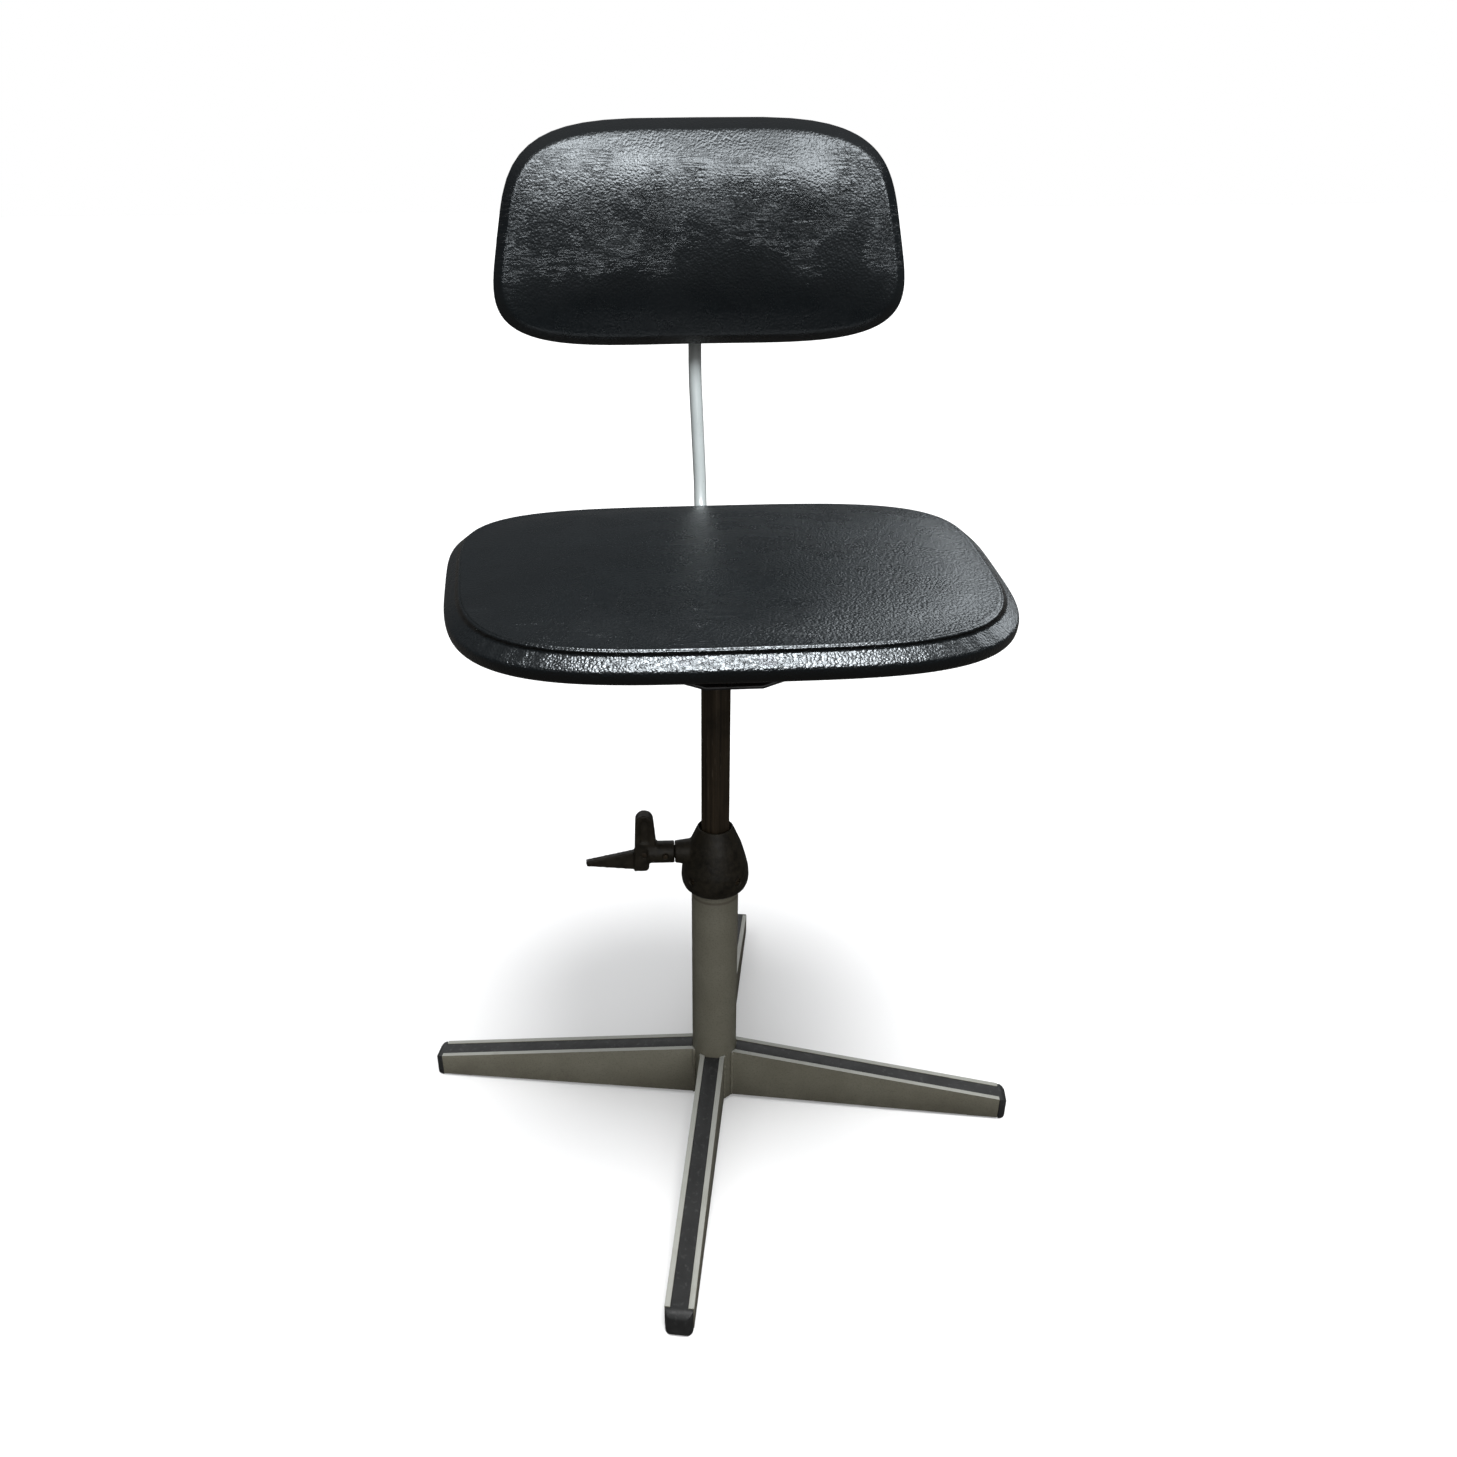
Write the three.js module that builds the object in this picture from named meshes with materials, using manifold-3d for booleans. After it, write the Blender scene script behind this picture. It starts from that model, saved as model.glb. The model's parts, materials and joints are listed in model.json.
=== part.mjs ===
// A four-legged drafting chair: a round column on a welded cross base, a hexagonal stem held by a
// lever clamp, a swivelling upholstered seat, and an upholstered backrest on a bent bar.
//
// Millimetres, +Z up. The origin is on the floor, on the column's axis, and the legs lie along X and Y.
// The seat and backrest are turned a little about Z, so their pieces are drawn facing -Y in a turned group.
import * as THREE from "three";
import { mergeVertices } from "three/addons/utils/BufferGeometryUtils.js";
import Module from "manifold-3d";

const wasm = await Module();
wasm.setup();

// ---- Driving dimensions -------------------------------------------------------------------------

const GAP = 0.3; // between pieces that touch
const TURN = 2 * Math.PI;

// Base
const LEG_REACH = 283.5; // column axis to the end of a leg's nose
const LEG_WIDTH = 23.5;
const LEG_TOP_AT_COLUMN = 58.5;
const LEG_TOP_AT_TIP = 23.6;
const LEG_BOTTOM_AT_COLUMN = 5.3;
const LEG_BOTTOM_AT_TIP = 2.2;
const SHEET = 2; // folded steel of the legs
const LIP_WIDTH = 4.5; // folded edge on each side of the tread strip
const GROOVE_DEPTH = 2.6;
const NOSE_THICKNESS = 7.5;
const NOSE_ROUNDING = 7; // of the nose's corners, seen from above and from the side
const FOOT_LENGTH = 28;

// Column and collar
const COLUMN_RADIUS = 21.2;
const COLUMN_WALL = 2.6;
const COLUMN_BOTTOM = 4;
const COLUMN_TOP = 268;
const COLLAR_BOTTOM = 240;
const COLLAR_TOP = 303;
const BUSH_RADIUS = 16;

// Clamp
const CLAMP_HEIGHT = 277;
const CLAMP_ANGLE = 188.5; // degrees about Z, from +X
const BOSS_START = 18; // distances along the spindle, from the column's axis
const BOSS_REACH = 36;
const BOSS_ROOT_RADIUS = 12.4;
const HUB_RADIUS = 10; // of the handle's hub, and of the boss where they meet
const SPINDLE_RADIUS = 6;
const PADDLE_INNER = 52.5;
const PADDLE_OUTER = 72.5;
const PADDLE_TOP = 39.5;
const PADDLE_BOTTOM = -16.4;
const PADDLE_THICKNESS = 13;
const BLADE_REACH = 115.5;
const BLADE_THICKNESS = 7;
const PAD_TRAVEL_GAP = 1.5; // room between the pressure pad and the spindle's end

// Stem
const STEM_FLATS = 24; // across flats
const STEM_BOTTOM = 116;
const STEM_SHOULDER = 468;
const SPIGOT_RADIUS = 8.4;
const SPIGOT_TOP = 515;
const CLIP_HEIGHT = 509.8; // underside of the spigot's circlip

// Seat
const SEAT_YAW = 10.4; // degrees about Z
const SEAT_SHIFT = { x: 5, y: -6.5 }; // the board sits slightly to the right and front of the hub
const SEAT_WIDTH = 434;
const SEAT_DEPTH = 399;
const SEAT_POWER = 3.77; // superellipse exponent of the outline
const SEAT_TAPER = 0.09; // wider towards the back
const SEAT_EDGE_HEIGHT = 527; // height of the widest contour
const SEAT_SEAM_HEIGHT = 540.5;
const SEAT_CROWN_HEIGHT = 547;
const BOARD_BOTTOM = 521.6;
const BOARD_TOP = 531.6;
const BOARD_INSET = 7; // from the widest contour
const BRACKET_BOTTOM = 493.6;
const BRACKET_SHEET = 2.5;
const BRACKET_FRONT = -150;
const BRACKET_BACK = 150;
const BRACKET_HALF_FLOOR = 20;
const BRACKET_BEND = { x: 58, z: 506 }; // where the shallow flare turns up to the flange
const BRACKET_HALF_WIDTH = 86;
const BRACKET_SCREWS = [[-76, -125], [76, -125], [-76, 125], [76, 125]];

// Backrest and its bar
const BAR_RADIUS = 6;
const BAR_HEIGHT = 508.5; // of the run under the seat
const BAR_X = 4; // under the seat: the bar leans back to the middle on its way up
const BAR_FRONT = 70;
const BAR_BACK = 243;
const BAR_TOP = 822;
const BACK_WIDTH = 335.4;
const BACK_HEIGHT = 173.5;
const BACK_POWER = 3.94;
const BACK_TAPER = -0.1; // narrower towards the top
const BACK_WRAP = 31; // how far the sides come forward
const BACK_RIM_Y = 205.6;
const BACK_CENTRE_Z = 764.7;
const PIN_Y = 231;
const PIN_RADIUS = 3;
const BLOCK_HALF_WIDTH = 9;
const BLOCK_HALF_HEIGHT = 15;
const EAR_THICKNESS = 3;

// ---- Materials ----------------------------------------------------------------------------------

const finish = (color, roughness, metalness) => () =>
  new THREE.MeshStandardMaterial({ color, roughness, metalness });
const greyPaint = finish(0x8b8a7e, 0.55, 0.2);
const barPaint = finish(0xc4c9c6, 0.35, 0.2);
const castPaint = finish(0x5c574e, 0.6, 0.3);
const darkSteel = finish(0x4a3f33, 0.5, 0.85);
const brightSteel = finish(0x9a9a98, 0.35, 0.95);
const brassMetal = finish(0xa98a4a, 0.4, 0.9);
const blackPaint = finish(0x1b1b1c, 0.45, 0.2);
const rubber = finish(0x3b3b3a, 0.8, 0);
const blackPlastic = finish(0x161616, 0.5, 0);
const paleNylon = finish(0xd8d4c6, 0.5, 0);
const plywood = finish(0xa27b4c, 0.7, 0);
const leatherette = finish(0x101114, 0.35, 0);

// ---- Shape helpers ------------------------------------------------------------------------------

function toSolid(geometry) {
  const bare = geometry.clone();
  bare.deleteAttribute("normal");
  bare.deleteAttribute("uv");
  const merged = mergeVertices(bare, 1e-4);
  return new wasm.Manifold(
    new wasm.Mesh({
      numProp: 3,
      vertProperties: new Float32Array(merged.getAttribute("position").array),
      triVerts: new Uint32Array(merged.index.array),
    }),
  );
}

function toGeometry(solid) {
  const mesh = solid.getMesh();
  const geometry = new THREE.BufferGeometry();
  geometry.setAttribute("position", new THREE.BufferAttribute(new Float32Array(mesh.vertProperties), 3));
  geometry.setIndex(new THREE.BufferAttribute(new Uint32Array(mesh.triVerts), 1));
  geometry.computeVertexNormals();
  return geometry;
}

const join = (first, ...others) =>
  toGeometry(others.reduce((solid, other) => solid.add(toSolid(other)), toSolid(first)));

const cut = (body, ...tools) =>
  toGeometry(tools.reduce((solid, tool) => solid.subtract(toSolid(tool)), toSolid(body)));

const common = (first, second) => toGeometry(toSolid(first).intersect(toSolid(second)));

// A solid of revolution about Z. The profile lists [radius, height] points, going round with the solid
// on the left-hand side.
function turned(profile, segments = 24) {
  const points = profile.map(([radius, height]) => new THREE.Vector2(radius, height));
  return new THREE.LatheGeometry(points, segments).rotateX(Math.PI / 2);
}

const disc = (radius, low, high, segments = 24) =>
  turned([[0, low], [radius, low], [radius, high], [0, high]], segments);

const ring = (inner, outer, low, high, segments = 24) =>
  turned([[inner, low], [outer, low], [outer, high], [inner, high], [inner, low]], segments);

// The same rods and rings lying along X or Y.
const alongX = (geometry) => geometry.rotateY(Math.PI / 2);
const alongY = (geometry) => geometry.rotateX(-Math.PI / 2);

function box([lowX, lowY, lowZ], [highX, highY, highZ]) {
  const size = [highX - lowX, highY - lowY, highZ - lowZ];
  return new THREE.BoxGeometry(...size).translate(
    (lowX + highX) / 2,
    (lowY + highY) / 2,
    (lowZ + highZ) / 2,
  );
}

function hexBar(acrossFlats, low, high) {
  const radius = acrossFlats / Math.sqrt(3);
  const bar = new THREE.CylinderGeometry(radius, radius, high - low, 6).rotateX(Math.PI / 2);
  // Stood up, the bar has a flat towards +X: turned with the clamp, that flat faces the spindle.
  return bar.rotateZ(THREE.MathUtils.degToRad(CLAMP_ANGLE)).translate(0, 0, (low + high) / 2);
}

const outline = (points) => new THREE.Shape(points.map(([x, y]) => new THREE.Vector2(x, y)));

// A side outline (X and Z) made into a slab of the given thickness, centred on Y = 0.
function slab(shape, thickness) {
  const settings = { depth: thickness, bevelEnabled: false, curveSegments: 6 };
  return new THREE.ExtrudeGeometry(shape, settings).rotateX(Math.PI / 2).translate(0, thickness / 2, 0);
}

// A rounded-rectangle pad or board. Each row of the profile is [share, inset, height]: a share of the
// superellipse outline pulled in by inset, at a height above the outline's plane. It goes from the
// middle of the underside, out round the edge, to the middle of the top.
function cushion({ width, depth, power, taper, profile, segments = 48 }) {
  const rows = profile.map(([share, , height]) => new THREE.Vector2(share * width, height));
  const geometry = new THREE.LatheGeometry(rows, segments);
  const position = geometry.getAttribute("position");
  const stretch = (value) => Math.sign(value) * Math.abs(value) ** (2 / power);
  for (let index = 0; index < position.count; index += 1) {
    const [share, inset, height] = profile[index % profile.length];
    const angle = (TURN * (Math.floor(index / profile.length) % segments)) / segments;
    const across = stretch(Math.sin(angle)) * share;
    const along = stretch(-Math.cos(angle)) * share;
    const x = across * (width / 2 - inset) * (1 + taper * along);
    position.setXYZ(index, x, along * (depth / 2 - inset), height);
  }
  return geometry;
}

// ---- Pieces of the base -------------------------------------------------------------------------

const along = (atColumn, atTip) => (x) =>
  atColumn + ((atTip - atColumn) * (x - COLUMN_RADIUS)) / (LEG_REACH - COLUMN_RADIUS);
const legTop = along(LEG_TOP_AT_COLUMN, LEG_TOP_AT_TIP);
const legBottom = along(LEG_BOTTOM_AT_COLUMN, LEG_BOTTOM_AT_TIP);
const LEG_START = 14; // inside the column, before the end is cut to the tube
const LEG_END = LEG_REACH - NOSE_THICKNESS - GAP;
const HOLLOW_DROP = GROOVE_DEPTH + SHEET; // top of the leg's hollow, below its top

// The outline between two lines that follow the leg's taper, dropped from its top or raised above its foot.
const legBand = (start, end, topDrop, bottom) =>
  outline([
    [start, bottom(start)],
    [end, bottom(end)],
    [end, legTop(end) - topDrop],
    [start, legTop(start) - topDrop],
  ]);

function legGeometry() {
  const below = (x) => legBottom(x) - 1;
  const grooveFloor = (x) => legTop(x) - GROOVE_DEPTH;
  const body = slab(legBand(LEG_START, LEG_END, 0, legBottom), LEG_WIDTH);
  const hollow = slab(legBand(LEG_START - 1, LEG_END + 1, HOLLOW_DROP, below), LEG_WIDTH - 2 * SHEET);
  const groove = slab(legBand(LEG_START - 1, LEG_END + 1, -1, grooveFloor), LEG_WIDTH - 2 * LIP_WIDTH);
  const tube = disc(COLUMN_RADIUS + GAP, -1, 100, 36);
  return cut(body, hollow, groove, tube);
}

// The rubber strip between the lips, with the nose that wraps over and down the leg's end.
function treadStripGeometry() {
  const drop = 0.4;
  const bottom = (x) => legTop(x) - GROOVE_DEPTH + GAP;
  const start = COLUMN_RADIUS + 0.6;
  const noseStart = LEG_REACH - NOSE_THICKNESS;
  const strip = slab(legBand(start, noseStart + 1, drop, bottom), LEG_WIDTH - 2 * LIP_WIDTH - 2 * GAP);
  const noseTop = legTop(noseStart) - drop;
  const side = outline([[noseStart, 1]]);
  side.lineTo(LEG_REACH - 2, 1);
  side.absarc(LEG_REACH - 2, 3, 2, -Math.PI / 2, 0, false);
  side.absarc(LEG_REACH - NOSE_ROUNDING, noseTop - NOSE_ROUNDING, NOSE_ROUNDING, 0, Math.PI / 2, false);
  side.lineTo(noseStart, noseTop);
  const halfNose = LEG_WIDTH / 2 - 0.5;
  const plan = outline([[noseStart - 1, -halfNose]]);
  const cornerX = LEG_REACH - NOSE_ROUNDING;
  const cornerY = halfNose - NOSE_ROUNDING;
  plan.absarc(cornerX, -cornerY, NOSE_ROUNDING, -Math.PI / 2, 0, false);
  plan.absarc(cornerX, cornerY, NOSE_ROUNDING, 0, Math.PI / 2, false);
  plan.lineTo(noseStart - 1, halfNose);
  const planSolid = new THREE.ExtrudeGeometry(plan, { depth: 60, bevelEnabled: false, curveSegments: 6 });
  return join(common(slab(side, LEG_WIDTH), planSolid), strip);
}

// A rubber block pushed up into the channel behind the nose: the chair stands on it.
function footPadGeometry() {
  const end = LEG_END - GAP;
  return slab(
    legBand(end - FOOT_LENGTH, end, HOLLOW_DROP + GAP, () => 0),
    LEG_WIDTH - 2 * SHEET - 2 * GAP,
  );
}

const columnTubeGeometry = () =>
  ring(COLUMN_RADIUS - COLUMN_WALL, COLUMN_RADIUS, COLUMN_BOTTOM, COLUMN_TOP, 36);

const columnEndCapGeometry = () =>
  disc(COLUMN_RADIUS - COLUMN_WALL - GAP, COLUMN_BOTTOM + 1, COLUMN_BOTTOM + 6);

const GRUB_HEIGHT = 257;
const GRUB_RADIUS = 3;
const GRUB_ANGLES = { left: -128.5, right: -40.5 };

const radialRod = (radius, from, to, angle, height) =>
  alongX(disc(radius, from, to, 16)).rotateZ(THREE.MathUtils.degToRad(angle)).translate(0, 0, height);

function heightCollarGeometry() {
  const tubeBore = COLUMN_RADIUS + GAP;
  const bushBore = BUSH_RADIUS + GAP;
  const mouth = STEM_FLATS / Math.sqrt(3) + 0.6;
  const casting = turned(
    [
      [tubeBore, COLLAR_BOTTOM], [24.2, COLLAR_BOTTOM + 0.4], [27.8, COLLAR_BOTTOM + 3.6],
      [29.8, COLLAR_BOTTOM + 8.5], [30.4, 254], [29.8, 262], [27.2, 272.5], [23.8, 284], [20.2, 292.4],
      [17.6, 298.4], [15.7, COLLAR_TOP - 0.6], [15.1, COLLAR_TOP],
      [mouth, COLLAR_TOP], [mouth, 296.5], [bushBore, 296.5],
      [bushBore, COLUMN_TOP + 0.8], [tubeBore, COLUMN_TOP + 0.8], [tubeBore, COLLAR_BOTTOM],
    ],
    36,
  );
  const bossProfile = [[0, BOSS_START], [BOSS_ROOT_RADIUS, BOSS_START], [HUB_RADIUS, BOSS_REACH], [0, BOSS_REACH]];
  const boss = alongX(turned(bossProfile))
    .rotateZ(THREE.MathUtils.degToRad(CLAMP_ANGLE))
    .translate(0, 0, CLAMP_HEIGHT);
  const spindleHole = radialRod(SPINDLE_RADIUS + GAP, 10, BOSS_REACH + 1, CLAMP_ANGLE, CLAMP_HEIGHT);
  const grubHoles = Object.values(GRUB_ANGLES).map((angle) =>
    radialRod(GRUB_RADIUS + GAP, 20, 35, angle, GRUB_HEIGHT),
  );
  const tubeSocket = disc(tubeBore, COLLAR_BOTTOM - 1, COLUMN_TOP + 0.8, 36);
  return cut(join(casting, boss), tubeSocket, spindleHole, ...grubHoles);
}

function grubScrewGeometry() {
  const screw = alongX(disc(GRUB_RADIUS, COLUMN_RADIUS + GAP, 28.4, 16));
  const slot = box([27.2, -4, -0.6], [30, 4, 0.6]);
  return cut(screw, slot);
}

function stemGuideBushGeometry() {
  const body = disc(BUSH_RADIUS, COLUMN_TOP + 1.2, 296.2);
  const socket = hexBar(STEM_FLATS + 2 * GAP, 260, 305);
  return cut(body, socket, radialRod(SPINDLE_RADIUS + GAP, 8, 20, CLAMP_ANGLE, CLAMP_HEIGHT));
}

// ---- Pieces of the clamp: +X runs outward along the spindle, which is on Z = 0 -------------------

const PRESSURE_PAD_START = STEM_FLATS / 2 + GAP;
const PRESSURE_PAD_LENGTH = 8;
const SPINDLE_START = PRESSURE_PAD_START + PRESSURE_PAD_LENGTH + PAD_TRAVEL_GAP;
const HANDLE_PIN_X = (BOSS_REACH + PADDLE_INNER) / 2;
const HANDLE_PIN_RADIUS = 2;
const SPINDLE_END = PADDLE_OUTER - 5;

const pressurePadGeometry = () =>
  alongX(disc(SPINDLE_RADIUS - 0.1, PRESSURE_PAD_START, PRESSURE_PAD_START + PRESSURE_PAD_LENGTH, 24));

const handlePinHole = () =>
  alongY(disc(HANDLE_PIN_RADIUS + GAP, -HUB_RADIUS - 1, HUB_RADIUS + 1, 16)).translate(HANDLE_PIN_X, 0, 0);

const clampSpindleGeometry = () =>
  cut(alongX(disc(SPINDLE_RADIUS, SPINDLE_START, SPINDLE_END, 24)), handlePinHole());

const handlePinGeometry = () =>
  alongY(disc(HANDLE_PIN_RADIUS, -HUB_RADIUS, HUB_RADIUS, 16)).translate(HANDLE_PIN_X, 0, 0);

// A hub on the spindle, an upright finger paddle across its end, and a tapered blade that points outward.
function clampHandleGeometry() {
  const tipRadius = 8;
  const tipX = (PADDLE_INNER + PADDLE_OUTER) / 2;
  const tipZ = PADDLE_TOP - tipRadius;
  const heel = { x: PADDLE_INNER + 6.3, radius: 4 };
  const side = outline([[PADDLE_OUTER, PADDLE_BOTTOM], [tipX + tipRadius, tipZ]]);
  side.absarc(tipX, tipZ, tipRadius, 0, Math.PI, false);
  side.lineTo(PADDLE_INNER, HUB_RADIUS);
  side.lineTo(PADDLE_INNER, -5);
  side.lineTo(heel.x, -5);
  side.absarc(heel.x + heel.radius, PADDLE_BOTTOM + heel.radius, heel.radius, Math.PI, 1.5 * Math.PI, false);
  const paddle = slab(side, PADDLE_THICKNESS);
  const hub = alongX(disc(HUB_RADIUS, BOSS_REACH + GAP, heel.x + 1));
  const bladeSide = [[PADDLE_OUTER - 2, PADDLE_BOTTOM], [BLADE_REACH - 1, -12.2], [BLADE_REACH, -8], [PADDLE_OUTER - 2, 2]];
  const blade = slab(outline(bladeSide), BLADE_THICKNESS);
  const dishRadius = tipRadius - 4;
  const dishSide = outline([[tipX - dishRadius, HUB_RADIUS + 2], [tipX + dishRadius, HUB_RADIUS + 2]]);
  dishSide.absarc(tipX, tipZ, dishRadius, 0, Math.PI, false);
  const dishes = [-1, 1].map((face) => slab(dishSide, 6).translate(0, face * (PADDLE_THICKNESS / 2 + 1.5), 0));
  const spindleHole = alongX(disc(SPINDLE_RADIUS + GAP, BOSS_REACH - 1, SPINDLE_END + GAP, 24));
  return cut(join(paddle, hub, blade), spindleHole, handlePinHole(), ...dishes);
}

// ---- Pieces of the stem -------------------------------------------------------------------------

function hexStemGeometry() {
  const bar = hexBar(STEM_FLATS, STEM_BOTTOM, STEM_SHOULDER);
  const spigot = disc(SPIGOT_RADIUS, STEM_SHOULDER - 5, SPIGOT_TOP, 24);
  const clipGroove = ring(SPIGOT_RADIUS - 1.2, SPIGOT_RADIUS + 2, CLIP_HEIGHT - 0.3, CLIP_HEIGHT + 1.7, 24);
  const stopThread = disc(4 + GAP, STEM_BOTTOM - 1, STEM_BOTTOM + 24, 16);
  return cut(join(bar, spigot), clipGroove, stopThread);
}

const stopWasherGeometry = () => ring(4 + GAP, 17, STEM_BOTTOM - GAP - 3.5, STEM_BOTTOM - GAP, 24);

function stopScrewGeometry() {
  const underHead = STEM_BOTTOM - 2 * GAP - 3.5;
  const tip = STEM_BOTTOM + 22;
  return turned([[0, underHead - 5], [7, underHead - 5], [7, underHead], [4, underHead], [4, tip], [0, tip]], 24);
}

const thrustWasherGeometry = () =>
  ring(SPIGOT_RADIUS + GAP, BUSH_RADIUS, STEM_SHOULDER + GAP, STEM_SHOULDER + GAP + 3);

function circlipGeometry() {
  const body = ring(SPIGOT_RADIUS - 1.2 + GAP, SPIGOT_RADIUS + 3.4, CLIP_HEIGHT, CLIP_HEIGHT + 1.4);
  return cut(body, box([0, -2.5, CLIP_HEIGHT - 5], [20, 2.5, CLIP_HEIGHT + 5]));
}

// ---- Pieces that turn with the seat -------------------------------------------------------------

const SWIVEL_BOTTOM = STEM_SHOULDER + 2 * GAP + 3;
const SWIVEL_TOP = CLIP_HEIGHT - 2 * GAP;
const SWIVEL_RADIUS = 17;
const SWIVEL_BORE = 10.8;

const swivelHubGeometry = () => ring(SWIVEL_BORE, SWIVEL_RADIUS, SWIVEL_BOTTOM, SWIVEL_TOP);

const hubBushGeometry = (low, high) =>
  ring(SPIGOT_RADIUS + 0.1, SWIVEL_BORE - GAP, low, high, 24);

const SOCKET_FRONT = 88;
const SOCKET_SCREW_Y = 118;
const SEAT_SCREW_RADIUS = 2.2;

const upright = (radius, x, y, low, high, segments = 16) =>
  disc(radius, low, high, segments).translate(x, y, 0);

// A line of [x, z] points moved sideways, to its left, by the thickness of a sheet folded along it.
function offsetLine(points, thickness) {
  const normals = points.slice(1).map(([x, z], index) => {
    const [fromX, fromZ] = points[index];
    const length = Math.hypot(x - fromX, z - fromZ);
    return [-(z - fromZ) / length, (x - fromX) / length];
  });
  return points.map(([x, z], index) => {
    const before = normals[Math.max(index - 1, 0)];
    const after = normals[Math.min(index, normals.length - 1)];
    const scale = thickness / (1 + before[0] * after[0] + before[1] * after[1]);
    return [x + (before[0] + after[0]) * scale, z + (before[1] + after[1]) * scale];
  });
}

// A folded channel: a flat floor, flared sides that turn up steeply, and a flange under the board on each side.
function seatBracketGeometry() {
  const flangeTop = BOARD_BOTTOM - GAP;
  const flangeBottom = flangeTop - BRACKET_SHEET;
  const floor = BRACKET_BOTTOM + BRACKET_SHEET;
  const half = [
    [BRACKET_HALF_FLOOR, BRACKET_BOTTOM], [BRACKET_BEND.x, BRACKET_BEND.z],
    [BRACKET_BEND.x + 8, flangeBottom], [BRACKET_HALF_WIDTH, flangeBottom],
  ];
  const underside = [...half.map(([x, z]) => [-x, z]).reverse(), ...half];
  const section = outline([...underside, ...offsetLine(underside, BRACKET_SHEET).reverse()]);
  const length = BRACKET_BACK - BRACKET_FRONT;
  const channel = slab(section, length).translate(0, (BRACKET_BACK + BRACKET_FRONT) / 2, 0);
  const hubHole = upright(SWIVEL_RADIUS + GAP, 0, 0, BRACKET_BOTTOM - 1, floor + 1, 24);
  const knobHole = upright(4 + GAP, BAR_X, SOCKET_SCREW_Y, BRACKET_BOTTOM - 1, floor + 1);
  const screwHoles = BRACKET_SCREWS.map(([x, y]) =>
    upright(SEAT_SCREW_RADIUS + GAP, x, y, flangeBottom - 1, flangeTop + 1),
  );
  return cut(channel, hubHole, knobHole, ...screwHoles);
}

// The block welded in the bracket's channel that the backrest's bar slides through.
function barSocketGeometry() {
  const block = box(
    [BAR_X - 13, SOCKET_FRONT, BRACKET_BOTTOM + BRACKET_SHEET + GAP],
    [BAR_X + 13, BRACKET_BACK, BOARD_BOTTOM - GAP],
  );
  const bore = alongY(disc(BAR_RADIUS + GAP, SOCKET_FRONT - 1, BRACKET_BACK + 1)).translate(BAR_X, 0, BAR_HEIGHT);
  return cut(block, bore, upright(4 + GAP, BAR_X, SOCKET_SCREW_Y, BRACKET_BOTTOM, BAR_HEIGHT));
}

function seatScrewGeometry() {
  const seatOfHead = BOARD_BOTTOM - 2 * GAP - BRACKET_SHEET;
  const tip = BOARD_TOP - 2.6;
  const radius = SEAT_SCREW_RADIUS;
  return turned(
    [[0, seatOfHead - 2.4], [2.4, seatOfHead - 2.2], [4.4, seatOfHead], [radius, seatOfHead], [radius, tip], [0, tip]],
    16,
  );
}

const seatOutline = { width: SEAT_WIDTH, depth: SEAT_DEPTH, power: SEAT_POWER, taper: SEAT_TAPER };

function seatBoardGeometry() {
  const board = cushion({
    ...seatOutline,
    profile: [
      [0, 0, BOARD_BOTTOM], [1, BOARD_INSET + 2, BOARD_BOTTOM], [1, BOARD_INSET, BOARD_BOTTOM + 2],
      [1, BOARD_INSET, BOARD_TOP], [0, 0, BOARD_TOP],
    ],
  });
  const pilotHoles = BRACKET_SCREWS.map(([x, y]) =>
    upright(SEAT_SCREW_RADIUS + GAP, x - SEAT_SHIFT.x, y - SEAT_SHIFT.y, BOARD_BOTTOM - 1, BOARD_TOP - 2),
  );
  return cut(board, ...pilotHoles);
}

// Foam and cover together: the cover comes down round the board's edge.
const seatPadGeometry = () =>
  cushion({
    ...seatOutline,
    profile: [
      [0, 0, BOARD_TOP + GAP], [1, BOARD_INSET - GAP, BOARD_TOP + GAP],
      [1, BOARD_INSET - GAP, BOARD_BOTTOM + 1.2], [1, 3, BOARD_BOTTOM + 1], [1, 0.8, BOARD_BOTTOM + 3],
      [1, 0, SEAT_EDGE_HEIGHT], [1, 2, SEAT_EDGE_HEIGHT + 4], [1, 13, SEAT_SEAM_HEIGHT],
      [0.82, 10, SEAT_CROWN_HEIGHT - 3.4], [0.5, 10, SEAT_CROWN_HEIGHT - 1], [0, 0, SEAT_CROWN_HEIGHT],
    ],
  });

// A hand knob with shallow lobes, moulded on a screw that runs up +Z from Z = 0.
const KNOB_HEIGHT = 17;
const KNOB_LOBES = 8;

function knobGeometry() {
  const points = Array.from({ length: KNOB_LOBES * 4 }, (_, index) => {
    const angle = (TURN * index) / (KNOB_LOBES * 4);
    const radius = 13 + 1.1 * Math.cos(KNOB_LOBES * angle);
    return [radius * Math.cos(angle), radius * Math.sin(angle)];
  });
  const settings = { depth: KNOB_HEIGHT - 3, bevelThickness: 1.5, bevelSize: 1.2, bevelSegments: 1 };
  const body = new THREE.ExtrudeGeometry(outline(points), settings).translate(0, 0, 1.5);
  return cut(body, disc(4 + GAP, 6, KNOB_HEIGHT + 1, 16));
}

const knobScrewGeometry = (length) => disc(4, 6 + GAP, length, 16);

// ---- Pieces of the backrest ---------------------------------------------------------------------

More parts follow.
